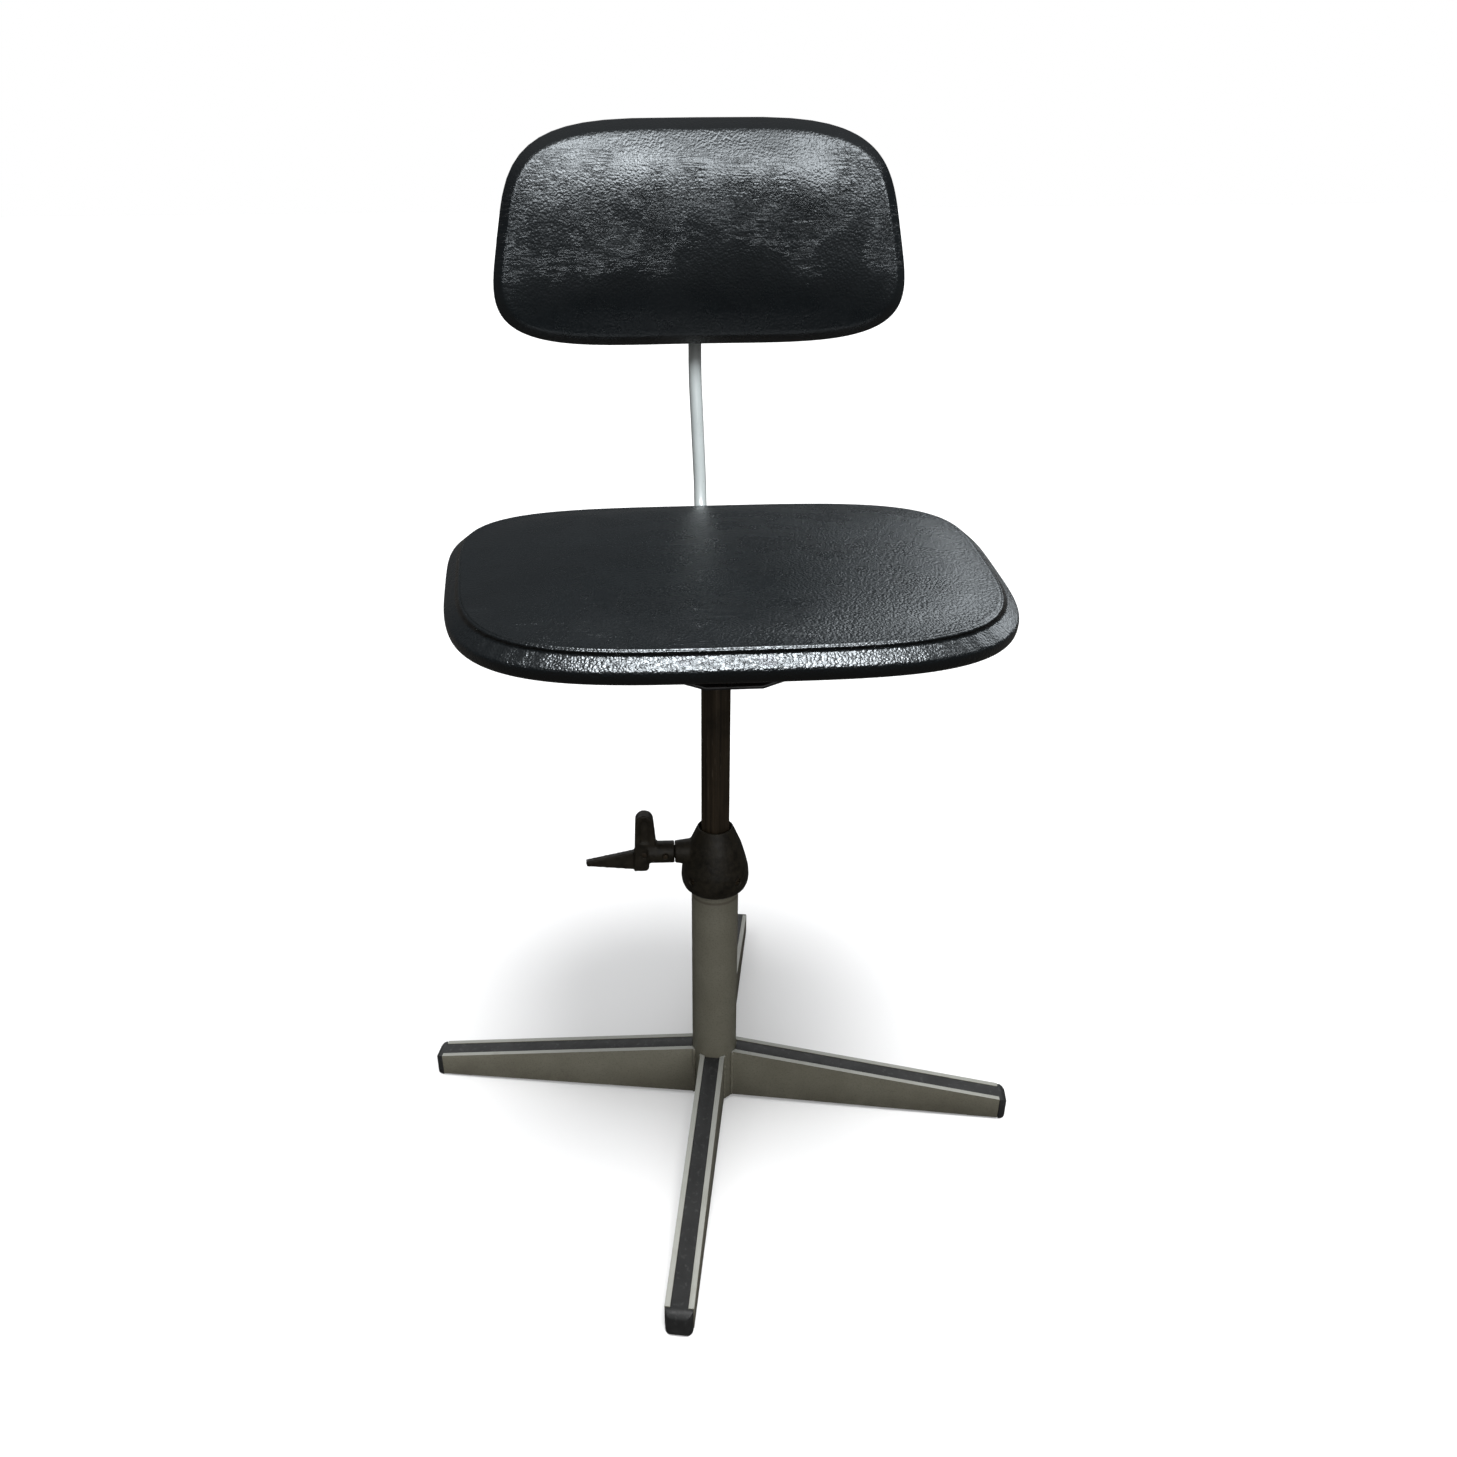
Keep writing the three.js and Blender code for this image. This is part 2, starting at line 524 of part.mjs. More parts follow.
// The bar runs back under the seat, bends up behind it, leans back a little and then stands straight.
function backBarGeometry() {
  const point = (x, y, z) => new THREE.Vector3(x, y, z);
  const front = point(BAR_X, BAR_FRONT, BAR_HEIGHT);
  const bendStart = point(BAR_X, 192, BAR_HEIGHT);
  const corner = point(BAR_X, 232.6, BAR_HEIGHT);
  const bendEnd = point(BAR_X, 235, 548);
  const crankStart = point(1, 240.4, 622);
  const crankEnd = point(0, BAR_BACK, 662);
  const path = new THREE.CurvePath();
  path.add(new THREE.LineCurve3(front, bendStart));
  path.add(new THREE.QuadraticBezierCurve3(bendStart, corner, bendEnd));
  path.add(new THREE.LineCurve3(bendEnd, crankStart));
  path.add(new THREE.QuadraticBezierCurve3(crankStart, point(0, BAR_BACK, 640), crankEnd));
  path.add(new THREE.LineCurve3(crankEnd, point(0, BAR_BACK, BAR_TOP)));
  const section = new THREE.Shape();
  section.absarc(0, 0, BAR_RADIUS, 0, TURN, false);
  return new THREE.ExtrudeGeometry(section, { steps: 40, extrudePath: path, curveSegments: 6 });
}

function barTopPlugGeometry() {
  const skirt = BAR_TOP - 9;
  const inner = BAR_RADIUS + GAP;
  const outer = inner + 1.4;
  return turned(
    [
      [inner, skirt], [outer, skirt], [outer, BAR_TOP + 1.5], [outer - 1.5, BAR_TOP + 3],
      [0, BAR_TOP + 3], [0, BAR_TOP + GAP], [inner, BAR_TOP + GAP], [inner, skirt],
    ],
    24,
  );
}

const pinRod = (radius, from, to) => alongX(disc(radius, from, to, 24)).translate(0, PIN_Y, BACK_CENTRE_Z);

function pivotBlockGeometry() {
  const low = BACK_CENTRE_Z - BLOCK_HALF_HEIGHT;
  const high = BACK_CENTRE_Z + BLOCK_HALF_HEIGHT;
  const front = PIN_Y - 6;
  const side = outline([
    [front, low + 4], [front + 3, low], [256, low], [256, high], [front + 3, high], [front, high - 4],
  ]);
  const block = slab(side, 2 * BLOCK_HALF_WIDTH).rotateZ(Math.PI / 2);
  const barHole = upright(BAR_RADIUS + GAP, 0, BAR_BACK, low - 1, high + 1, 24);
  const screwHole = alongY(disc(4 + GAP, BAR_BACK, 257, 16)).translate(0, 0, BACK_CENTRE_Z);
  return cut(block, barHole, screwHole, pinRod(PIN_RADIUS + GAP, -20, 20));
}

const SHELL_REAR = 12; // behind the rim's plane
const PLATE_FRONT = BACK_RIM_Y + SHELL_REAR + GAP;
const PLATE_BACK = PLATE_FRONT + 3;
const BACK_SCREWS = [[-20, -21], [20, -21], [-20, 21], [20, 21]]; // from the pivot pin, in X and Z
const EAR_START = BLOCK_HALF_WIDTH + 0.4;

// A plate on the shell with two ears that hold the pivot pin.
function backBracketGeometry() {
  const z = BACK_CENTRE_Z;
  const plate = box([-28, PLATE_FRONT, z - 30], [28, PLATE_BACK, z + 30]);
  const earSide = outline([[PLATE_BACK - 1, z - 11]]);
  earSide.lineTo(PIN_Y, z - 11);
  earSide.absarc(PIN_Y, z, 11, -Math.PI / 2, Math.PI / 2, false);
  earSide.lineTo(PLATE_BACK - 1, z + 11);
  const ears = [-1, 1].map((side) =>
    slab(earSide, EAR_THICKNESS)
      .rotateZ(Math.PI / 2)
      .translate(side * (EAR_START + EAR_THICKNESS / 2), 0, 0),
  );
  const screwHoles = BACK_SCREWS.map(([x, dz]) =>
    alongY(disc(2.2 + GAP, PLATE_FRONT - 1, PLATE_BACK + 1, 16)).translate(x, 0, z + dz),
  );
  return cut(join(plate, ...ears), pinRod(PIN_RADIUS + GAP, -20, 20), ...screwHoles);
}

function pivotPinGeometry() {
  const shoulder = EAR_START + EAR_THICKNESS + GAP;
  return turned(
    [[0, -16.5], [PIN_RADIUS, -16.5], [PIN_RADIUS, shoulder], [5, shoulder], [5, shoulder + 2], [0, shoulder + 2]],
    24,
  )
    .rotateY(Math.PI / 2)
    .translate(0, PIN_Y, BACK_CENTRE_Z);
}

const pinClipGeometry = () =>
  alongX(ring(PIN_RADIUS + 0.2, 5.6, -14.3, -13, 24)).translate(0, PIN_Y, BACK_CENTRE_Z);

function backScrewGeometry() {
  const head = PLATE_BACK + GAP;
  const screw = turned([[0, head - 11], [2.2, head - 11], [2.2, head], [4.2, head], [3, head + 2], [0, head + 2.2]], 16);
  return alongY(screw).translate(0, 0, BACK_CENTRE_Z);
}

// Stands a cushion up to face -Y, with its outline's plane at the rim, and brings its sides forward.
function wrapped(geometry) {
  geometry.rotateX(Math.PI / 2);
  const position = geometry.getAttribute("position");
  for (let index = 0; index < position.count; index += 1) {
    const forward = BACK_WRAP * (position.getX(index) / (BACK_WIDTH / 2)) ** 2;
    position.setY(index, position.getY(index) - forward);
  }
  return geometry.translate(0, BACK_RIM_Y, BACK_CENTRE_Z);
}

const backOutline = { width: BACK_WIDTH, depth: BACK_HEIGHT, power: BACK_POWER, taper: BACK_TAPER };

// A moulded shell whose rim stands round the pad.
function backShellGeometry() {
  const shell = wrapped(
    cushion({
      ...backOutline,
      profile: [
        [0, 0, -SHELL_REAR], [0.5, 0, -SHELL_REAR], [1, 12, -SHELL_REAR + 2], [1, 3, -7], [1, 0, 0],
        [1, 1, 3], [1, 4.5, 3], [1, 5.4, -3.2], [0.5, 0, -3.6], [0, 0, -3.6],
      ],
    }),
  );
  const screwHoles = BACK_SCREWS.map(([x, dz]) =>
    alongY(disc(2.2 + GAP, PLATE_BACK - 12, PLATE_BACK, 16)).translate(x, 0, BACK_CENTRE_Z + dz),
  );
  return cut(shell, ...screwHoles);
}

const backPadGeometry = () =>
  wrapped(
    cushion({
      ...backOutline,
      profile: [
        [0, 0, -2.4], [0.5, 0, -2.4], [1, 6.2, -2], [1, 6.2, 3.2], [1, 1, 3.2], [1, 0.5, 5], [1, 2.5, 9.5],
        [1, 8.6, 16], [1, 18, 21],
        [0.72, 12, 25.5], [0.4, 0, 28], [0, 0, 29],
      ],
    }),
  );

// ---- Assembly -----------------------------------------------------------------------------------

const group = new THREE.Group();

function add(parent, name, geometry, material, place = {}) {
  const mesh = new THREE.Mesh(geometry, material());
  mesh.name = name;
  mesh.position.set(place.x ?? 0, place.y ?? 0, place.z ?? 0);
  mesh.rotation.x = place.tip ?? 0;
  parent.add(mesh);
}

function turnedGroup(degrees, { x = 0, z = 0 } = {}, parent = group) {
  const made = new THREE.Group();
  made.rotation.z = THREE.MathUtils.degToRad(degrees);
  made.position.set(x, 0, z);
  parent.add(made);
  return made;
}

add(group, "column_tube", columnTubeGeometry(), greyPaint);
add(group, "column_end_cap", columnEndCapGeometry(), blackPlastic);

const LEG_ANGLES = { front: -90, right: 0, back: 90, left: 180 };
for (const [side, angle] of Object.entries(LEG_ANGLES)) {
  const leg = turnedGroup(angle);
  add(leg, `leg_${side}`, legGeometry(), greyPaint);
  add(leg, `tread_strip_${side}`, treadStripGeometry(), rubber);
  add(leg, `foot_pad_${side}`, footPadGeometry(), rubber);
}

add(group, "height_collar", heightCollarGeometry(), castPaint);
add(group, "stem_guide_bush", stemGuideBushGeometry(), brassMetal);
for (const [side, angle] of Object.entries(GRUB_ANGLES)) {
  add(turnedGroup(angle, { z: GRUB_HEIGHT }), `collar_grub_screw_${side}`, grubScrewGeometry(), darkSteel);
}

const clamp = turnedGroup(CLAMP_ANGLE, { z: CLAMP_HEIGHT });
add(clamp, "pressure_pad", pressurePadGeometry(), brassMetal);
add(clamp, "clamp_spindle", clampSpindleGeometry(), darkSteel);
add(clamp, "clamp_handle", clampHandleGeometry(), castPaint);
add(clamp, "handle_pin", handlePinGeometry(), darkSteel);

add(group, "hex_stem", hexStemGeometry(), darkSteel);
add(group, "stem_stop_washer", stopWasherGeometry(), brightSteel);
add(group, "stem_stop_screw", stopScrewGeometry(), brightSteel);
add(group, "thrust_washer", thrustWasherGeometry(), paleNylon);
add(group, "spigot_circlip", circlipGeometry(), darkSteel);

const seat = turnedGroup(SEAT_YAW);
add(seat, "swivel_hub", swivelHubGeometry(), blackPaint);
add(seat, "hub_bush_lower", hubBushGeometry(SWIVEL_BOTTOM + GAP, SWIVEL_BOTTOM + 12), paleNylon);
add(seat, "hub_bush_upper", hubBushGeometry(SWIVEL_TOP - 12, SWIVEL_TOP - GAP), paleNylon);
add(seat, "seat_bracket", seatBracketGeometry(), blackPaint);
add(seat, "bar_socket", barSocketGeometry(), blackPaint);
add(seat, "seat_board", seatBoardGeometry(), plywood, SEAT_SHIFT);
add(seat, "seat_pad", seatPadGeometry(), leatherette, SEAT_SHIFT);
BRACKET_SCREWS.forEach(([x, y], index) => {
  add(seat, `seat_screw_${index + 1}`, seatScrewGeometry(), brightSteel, { x, y });
});

const DEPTH_SCREW_LENGTH = 44;
const depthKnobZ = BAR_HEIGHT - BAR_RADIUS - GAP - DEPTH_SCREW_LENGTH;
const underSocket = { x: BAR_X, y: SOCKET_SCREW_Y, z: depthKnobZ };
add(seat, "depth_knob", knobGeometry(), blackPlastic, underSocket);
add(seat, "depth_screw", knobScrewGeometry(DEPTH_SCREW_LENGTH), brightSteel, underSocket);

add(seat, "back_bar", backBarGeometry(), barPaint);
add(seat, "bar_top_plug", barTopPlugGeometry(), blackPlastic, { y: BAR_BACK });
add(seat, "pivot_block", pivotBlockGeometry(), blackPaint);

const HEIGHT_SCREW_LENGTH = 28;
const heightKnobY = BAR_BACK + BAR_RADIUS + GAP + HEIGHT_SCREW_LENGTH;
const facingForward = { y: heightKnobY, z: BACK_CENTRE_Z, tip: Math.PI / 2 };
add(seat, "height_knob", knobGeometry(), blackPlastic, facingForward);
add(seat, "height_screw", knobScrewGeometry(HEIGHT_SCREW_LENGTH), brightSteel, facingForward);

add(seat, "back_bracket", backBracketGeometry(), blackPaint);
add(seat, "pivot_pin", pivotPinGeometry(), brightSteel);
add(seat, "pin_clip", pinClipGeometry(), darkSteel);
add(seat, "back_shell", backShellGeometry(), blackPlastic);
add(seat, "back_pad", backPadGeometry(), leatherette);
BACK_SCREWS.forEach(([x, dz], index) => {
  add(seat, `back_screw_${index + 1}`, backScrewGeometry(), brightSteel, { x, z: dz });
});

export default group;
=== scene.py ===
"""The looks of the drafting chair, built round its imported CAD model: finishes, upholstery, details, light and camera."""

import json
import math
import random

import bmesh
import bpy
import numpy as np
from mathutils import Matrix, Vector
from mathutils.kdtree import KDTree


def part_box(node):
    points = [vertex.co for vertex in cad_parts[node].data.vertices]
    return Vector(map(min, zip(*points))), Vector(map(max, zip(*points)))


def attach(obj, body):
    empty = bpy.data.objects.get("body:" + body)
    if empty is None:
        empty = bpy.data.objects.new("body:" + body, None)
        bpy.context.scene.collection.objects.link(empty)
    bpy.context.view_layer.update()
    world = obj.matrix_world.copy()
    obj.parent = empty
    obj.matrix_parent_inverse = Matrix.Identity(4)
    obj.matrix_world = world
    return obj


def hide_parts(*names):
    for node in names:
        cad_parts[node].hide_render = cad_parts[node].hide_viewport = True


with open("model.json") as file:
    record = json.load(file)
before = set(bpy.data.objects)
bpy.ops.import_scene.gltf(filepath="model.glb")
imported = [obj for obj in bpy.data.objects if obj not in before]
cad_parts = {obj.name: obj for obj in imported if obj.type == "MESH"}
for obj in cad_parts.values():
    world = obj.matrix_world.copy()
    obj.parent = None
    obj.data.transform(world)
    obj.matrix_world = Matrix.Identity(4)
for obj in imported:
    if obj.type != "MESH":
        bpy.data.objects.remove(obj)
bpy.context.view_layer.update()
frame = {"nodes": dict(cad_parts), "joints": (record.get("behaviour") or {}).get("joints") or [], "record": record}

MM = 0.001
NODES = frame["nodes"]
JOINTS = {joint["name"]: joint for joint in frame["joints"]}
SEAT_FORWARD = Vector(JOINTS["back_depth"]["axis"])  # the seat frame's +Y in the row frame
SEAT_TURN = Matrix.Rotation(math.atan2(-SEAT_FORWARD.x, SEAT_FORWARD.y), 4, "Z")
COLUMN_RADIUS = 21.2 * MM


# ---- Finishes -----------------------------------------------------------------------------------


class Finish:
    """A material, with short calls for the nodes that the finishes share."""

    def __init__(self, name, **constants):
        self.material = bpy.data.materials.new(name)
        self.material.use_nodes = True
        self.tree = self.material.node_tree
        self.shader = self.tree.nodes["Principled BSDF"]
        for socket, value in constants.items():
            self.shader.inputs[socket.replace("_", " ")].default_value = value
        coordinates = self.add("ShaderNodeTexCoord")
        self.place = coordinates.outputs["Object"]
        self.facing = coordinates.outputs["Normal"]

    def add(self, kind, **settings):
        node = self.tree.nodes.new(kind)
        for key, value in settings.items():
            setattr(node, key, value)
        return node

    def feed(self, socket, value):
        if isinstance(value, bpy.types.NodeSocket):
            self.tree.links.new(value, socket)
        else:
            socket.default_value = value

    def stretched(self, stretch, shift=(0, 0, 0)):
        """The object's coordinates, scaled along each axis."""
        node = self.add("ShaderNodeMapping")
        self.feed(node.inputs["Vector"], self.place)
        node.inputs["Scale"].default_value = stretch
        node.inputs["Location"].default_value = shift
        return node.outputs[0]

    def noise(self, scale, detail=3.0, stretch=None, distortion=0.0, rough=0.55):
        node = self.add("ShaderNodeTexNoise")
        self.feed(node.inputs["Vector"], self.stretched(stretch) if stretch else self.place)
        node.inputs["Scale"].default_value = scale
        node.inputs["Detail"].default_value = detail
        node.inputs["Roughness"].default_value = rough
        node.inputs["Distortion"].default_value = distortion
        return node.outputs[0]

    def cells(self, scale, output="Distance", feature="F1", stretch=None, warp=None):
        node = self.add("ShaderNodeTexVoronoi", feature=feature)
        place = self.stretched(stretch) if stretch else self.place
        if warp is not None:
            place = self.vector("ADD", place, self.vector("SCALE", self.noise_vector(warp[0]), scale=warp[1]))
        self.feed(node.inputs["Vector"], place)
        node.inputs["Scale"].default_value = scale
        return node.outputs[output]

    def noise_vector(self, scale):
        node = self.add("ShaderNodeTexNoise")
        self.feed(node.inputs["Vector"], self.place)
        node.inputs["Scale"].default_value = scale
        return node.outputs["Color"]

    def vector(self, operation, first, second=None, scale=None):
        node = self.add("ShaderNodeVectorMath", operation=operation)
        self.feed(node.inputs[0], first)
        if second is not None:
            self.feed(node.inputs[1], second)
        if scale is not None:
            node.inputs["Scale"].default_value = scale
        return node.outputs[0]

    def math(self, operation, first, second=0.0):
        node = self.add("ShaderNodeMath", operation=operation)
        self.feed(node.inputs[0], first)
        self.feed(node.inputs[1], second)
        return node.outputs[0]

    def remap(self, value, low, high, start=0.0, end=1.0):
        node = self.add("ShaderNodeMapRange")
        self.feed(node.inputs["Value"], value)
        for socket, number in zip(("From Min", "From Max", "To Min", "To Max"), (low, high, start, end)):
            node.inputs[socket].default_value = number
        return node.outputs[0]

    def part(self, vector, axis):
        node = self.add("ShaderNodeSeparateXYZ")
        self.feed(node.inputs[0], vector)
        return node.outputs["XYZ".index(axis)]

    def mix(self, amount, first, second):
        node = self.add("ShaderNodeMix", data_type="RGBA")
        self.feed(node.inputs["Factor"], amount)
        for index, colour in ((6, first), (7, second)):
            self.feed(node.inputs[index], colour if isinstance(colour, bpy.types.NodeSocket) else (*colour, 1))
        return node.outputs[2]

    def colour(self, value):
        self.feed(self.shader.inputs["Base Color"], value)

    def roughness(self, value):
        self.feed(self.shader.inputs["Roughness"], value)

    def bump(self, height, distance, under=None, strength=1.0):
        """Adds relief of the given depth in metres, and returns the normal for another layer."""
        node = self.add("ShaderNodeBump")
        node.inputs["Strength"].default_value = strength
        node.inputs["Distance"].default_value = distance
        self.feed(node.inputs["Height"], height)
        if under is not None:
            self.feed(node.inputs["Normal"], under)
        self.tree.links.new(node.outputs[0], self.shader.inputs["Normal"])
        return node.outputs[0]


def leatherette(name, crease_stretch, crease_mask, tint, grain):
    """Black coated cloth with pebbled grain, and creases drawn out along one direction."""
    finish = Finish(name, Specular_IOR_Level=0.6)
    base = finish.mix(finish.remap(finish.noise(9), 0.35, 0.65), *tint)
    pebble = finish.cells(520, warp=(300, 0.0022))
    # painted shade: the valleys between the pebbles of the grain are drawn darker
    grain_valley_shade = finish.remap(pebble, 0.35, 0.75)
    base = finish.mix(finish.math("MULTIPLY", grain_valley_shade, 0.5), base, (0.002, 0.0025, 0.003))
    dust = finish.remap(finish.cells(95), 0.035, 0.02)
    rare = finish.remap(finish.part(finish.cells(95, output="Color"), "X"), 0.955, 0.96)
    base = finish.mix(finish.math("MULTIPLY", finish.math("MULTIPLY", dust, rare), 0.5), base, (0.3, 0.31, 0.3))
    finish.colour(base)
    lines = finish.noise(1, detail=5, stretch=crease_stretch, distortion=0.9, rough=0.6)
    crease = finish.remap(finish.math("ABSOLUTE", finish.math("SUBTRACT", lines, 0.5)), 0.0, 0.035)
    worn = finish.math("MULTIPLY", crease_mask(finish), finish.remap(finish.noise(26), 0.42, 0.62))
    crease = finish.math("ADD", finish.math("MULTIPLY", finish.math("SUBTRACT", crease, 1.0), worn), 1.0)
    finish.roughness(finish.remap(finish.noise(34, detail=5), 0.3, 0.7, 0.24, 0.32))
    layer = finish.bump(crease, 0.22 * MM)
    layer = finish.bump(finish.math("SUBTRACT", 1.0, pebble), grain, layer)
    finish.bump(finish.noise(260, detail=2), 0.16 * MM, layer)
    return finish.material


def seat_crease_mask(finish):
    """Stronger towards the seat's front, where the cover is bent most."""
    return finish.remap(finish.part(finish.place, "Y"), -0.05, -0.19, 0.12, 0.4)


def back_crease_mask(finish):
    """A band across the middle of the backrest, where backs have rubbed it."""
    height = finish.math("ABSOLUTE", finish.math("SUBTRACT", finish.part(finish.place, "Z"), 0.781))
    return finish.remap(height, 0.012, 0.05, 1.0, 0.12)


def enamel(name):
    """Grey-green stove enamel, with a painted highlight on the faces that look up, grimy low down, painted shade under
    the height collar and chipped in places.
    """
    finish = Finish(name, Specular_IOR_Level=0.38)
    base = finish.mix(finish.remap(finish.noise(22, detail=6), 0.3, 0.7), (0.162, 0.153, 0.117), (0.200, 0.192, 0.150))
    speckle = finish.remap(finish.noise(620, detail=4, rough=0.75), 0.5, 0.66)
    base = finish.mix(finish.math("MULTIPLY", speckle, 0.55), base, (0.105, 0.098, 0.073))
    # painted highlight: faces that look up are drawn lighter, broken up by noise
    upward = finish.remap(finish.part(finish.facing, "Z"), 0.72, 0.97)
    painted_top_highlight = finish.math("MULTIPLY", upward, finish.remap(finish.noise(60, detail=5), 0.2, 0.5, 0.7, 1.0))
    base = finish.mix(painted_top_highlight, base, (0.34, 0.345, 0.315))
    height = finish.part(finish.place, "Z")
    grime = finish.math("MULTIPLY", finish.remap(height, 0.03, 0.0, 0.0, 0.75), finish.noise(70, detail=6))
    base = finish.mix(grime, base, (0.045, 0.038, 0.028))
    mark = finish.remap(finish.math("ABSOLUTE", finish.math("SUBTRACT", height, 0.2335)), 0.0018, 0.0006)
    base = finish.mix(finish.math("MULTIPLY", mark, 0.55), base, (0.062, 0.048, 0.031))
    shade = finish.remap(height, 0.21, 0.255, 0.0, 0.45)
    base = finish.mix(shade, base, (0.07, 0.062, 0.046))
    chips = finish.remap(finish.cells(42, warp=(160, 0.012)), 0.045, 0.035)
    chosen = finish.remap(finish.part(finish.cells(42, output="Color", warp=(160, 0.012)), "Y"), 0.86, 0.87)
    chips = finish.math("MULTIPLY", chips, chosen)
    base = finish.mix(chips, base, (0.022, 0.018, 0.014))
    finish.colour(base)
    finish.roughness(finish.remap(finish.noise(48, detail=6), 0.3, 0.7, 0.38, 0.58))
    layer = finish.bump(finish.noise(520, detail=2), 0.06 * MM)
    layer = finish.bump(finish.noise(2400, detail=1), 0.02 * MM, layer)
    finish.bump(finish.math("SUBTRACT", 1.0, chips), 0.15 * MM, layer)
    return finish.material


def cast_enamel(name):
    """Dark brown-grey enamel on rough castings, dusty in patches, with small chips."""
    finish = Finish(name, Specular_IOR_Level=0.22)
    base = finish.mix(finish.remap(finish.noise(60, detail=6), 0.35, 0.65), (0.0060, 0.0048, 0.0028), (0.016, 0.0132, 0.0086))
    dusty = finish.math("MULTIPLY", finish.remap(finish.noise(190, detail=5), 0.4, 0.65), 0.45)
    base = finish.mix(dusty, base, (0.032, 0.0265, 0.0175))
    chips = finish.remap(finish.cells(105, warp=(240, 0.006)), 0.10, 0.08)
    chosen = finish.remap(finish.part(finish.cells(105, output="Color", warp=(240, 0.006)), "Y"), 0.83, 0.84)
    chips = finish.math("MULTIPLY", chips, chosen)
    base = finish.mix(chips, base, (0.006, 0.005, 0.004))
    finish.colour(base)
    finish.roughness(finish.remap(finish.noise(120, detail=5), 0.3, 0.7, 0.4, 0.62))
    layer = finish.bump(finish.noise(260, detail=3), 0.25 * MM)
    layer = finish.bump(finish.noise(1100, detail=2), 0.06 * MM, layer)
    finish.bump(finish.math("SUBTRACT", 1.0, chips), 0.25 * MM, layer)
    return finish.material


def stem_bar(name):
    """Drawn steel bar, brown with old oil, rubbed paler in streaks along its length."""
    finish = Finish(name, Metallic=0.35, Specular_IOR_Level=0.35)
    streaks = finish.noise(1, detail=5, stretch=(260, 260, 7), rough=0.6)
    base = finish.mix(finish.remap(streaks, 0.35, 0.7), (0.016, 0.011, 0.006), (0.062, 0.046, 0.029))
    blotch = finish.remap(finish.noise(30, detail=6), 0.5, 0.66)
    base = finish.mix(finish.math("MULTIPLY", blotch, 0.6), base, (0.012, 0.009, 0.006))
    scratch = finish.remap(finish.noise(1, detail=2, stretch=(700, 700, 40)), 0.67, 0.72)
    base = finish.mix(finish.math("MULTIPLY", scratch, 0.6), base, (0.12, 0.10, 0.075))
    finish.colour(base)
    finish.roughness(finish.remap(streaks, 0.3, 0.7, 0.52, 0.34))
    layer = finish.bump(streaks, 0.05 * MM)
    finish.bump(finish.noise(420, detail=3), 0.05 * MM, layer)
    return finish.material


def plated(name, colour, dull, rough=(0.16, 0.3)):
    """Plated or bare bright metal with tarnish and fine scratches round it."""
    finish = Finish(name, Metallic=1.0)
    tarnish = finish.remap(finish.noise(45, detail=6), 0.4, 0.72)
    scratch = finish.noise(1, detail=3, stretch=(90, 90, 1500))
    finish.colour(finish.mix(finish.math("MULTIPLY", tarnish, 0.6), colour, dull))
    finish.roughness(finish.remap(finish.math("MULTIPLY", tarnish, scratch), 0.0, 0.4, *rough))
    layer = finish.bump(scratch, 0.015 * MM)
    finish.bump(finish.noise(600, detail=2), 0.02 * MM, layer)
    return finish.material


def light_enamel(name):
    """The back bar's pale grey gloss enamel, pitted and a little stained."""
    finish = Finish(name, Specular_IOR_Level=0.6, Coat_Weight=0.5, Coat_Roughness=0.06)
    base = finish.mix(finish.remap(finish.noise(16, detail=6), 0.35, 0.65), (0.38, 0.395, 0.385), (0.32, 0.335, 0.325))
    stain = finish.remap(finish.noise(130, detail=6, stretch=(1, 1, 0.25)), 0.56, 0.7)
    base = finish.mix(finish.math("MULTIPLY", stain, 0.4), base, (0.24, 0.245, 0.225))
    pits = finish.remap(finish.cells(520), 0.16, 0.10)
    chosen = finish.remap(finish.part(finish.cells(520, output="Color"), "X"), 0.9, 0.92)
    finish.colour(finish.mix(finish.math("MULTIPLY", pits, chosen), base, (0.16, 0.15, 0.13)))
    finish.roughness(finish.remap(stain, 0.0, 1.0, 0.24, 0.4))
    finish.bump(finish.noise(300, detail=4), 0.03 * MM)
    return finish.material


def black_enamel(name):
    finish = Finish(name, Specular_IOR_Level=0.45)
    base = finish.mix(finish.remap(finish.noise(40, detail=6), 0.4, 0.7), (0.008, 0.008, 0.009), (0.022, 0.021, 0.02))
    scuff = finish.remap(finish.noise(1, detail=4, stretch=(30, 260, 260)), 0.64, 0.7)
    base = finish.mix(finish.math("MULTIPLY", scuff, 0.5), base, (0.10, 0.095, 0.088))
    finish.colour(base)
    finish.roughness(finish.remap(finish.noise(90, detail=5), 0.3, 0.7, 0.3, 0.5))
    finish.bump(finish.noise(700, detail=2), 0.05 * MM)
    return finish.material


def rubber_finish(name):
    """Grey rubber, with a fine moulded grain and pale scuffs from shoes."""
    finish = Finish(name, Specular_IOR_Level=0.35)
    base = finish.mix(finish.remap(finish.noise(35, detail=6), 0.3, 0.7), (0.014, 0.0145, 0.0145), (0.024, 0.0245, 0.0245))
    scuff = finish.remap(finish.noise(240, detail=6), 0.56, 0.72)
    base = finish.mix(finish.math("MULTIPLY", scuff, 0.4), base, (0.08, 0.08, 0.08))
    finish.colour(base)
    finish.roughness(finish.remap(finish.noise(80, detail=5), 0.3, 0.7, 0.42, 0.6))
    layer = finish.bump(finish.noise(1600, detail=2), 0.05 * MM)
    finish.bump(finish.noise(200, detail=3), 0.08 * MM, layer)
    return finish.material


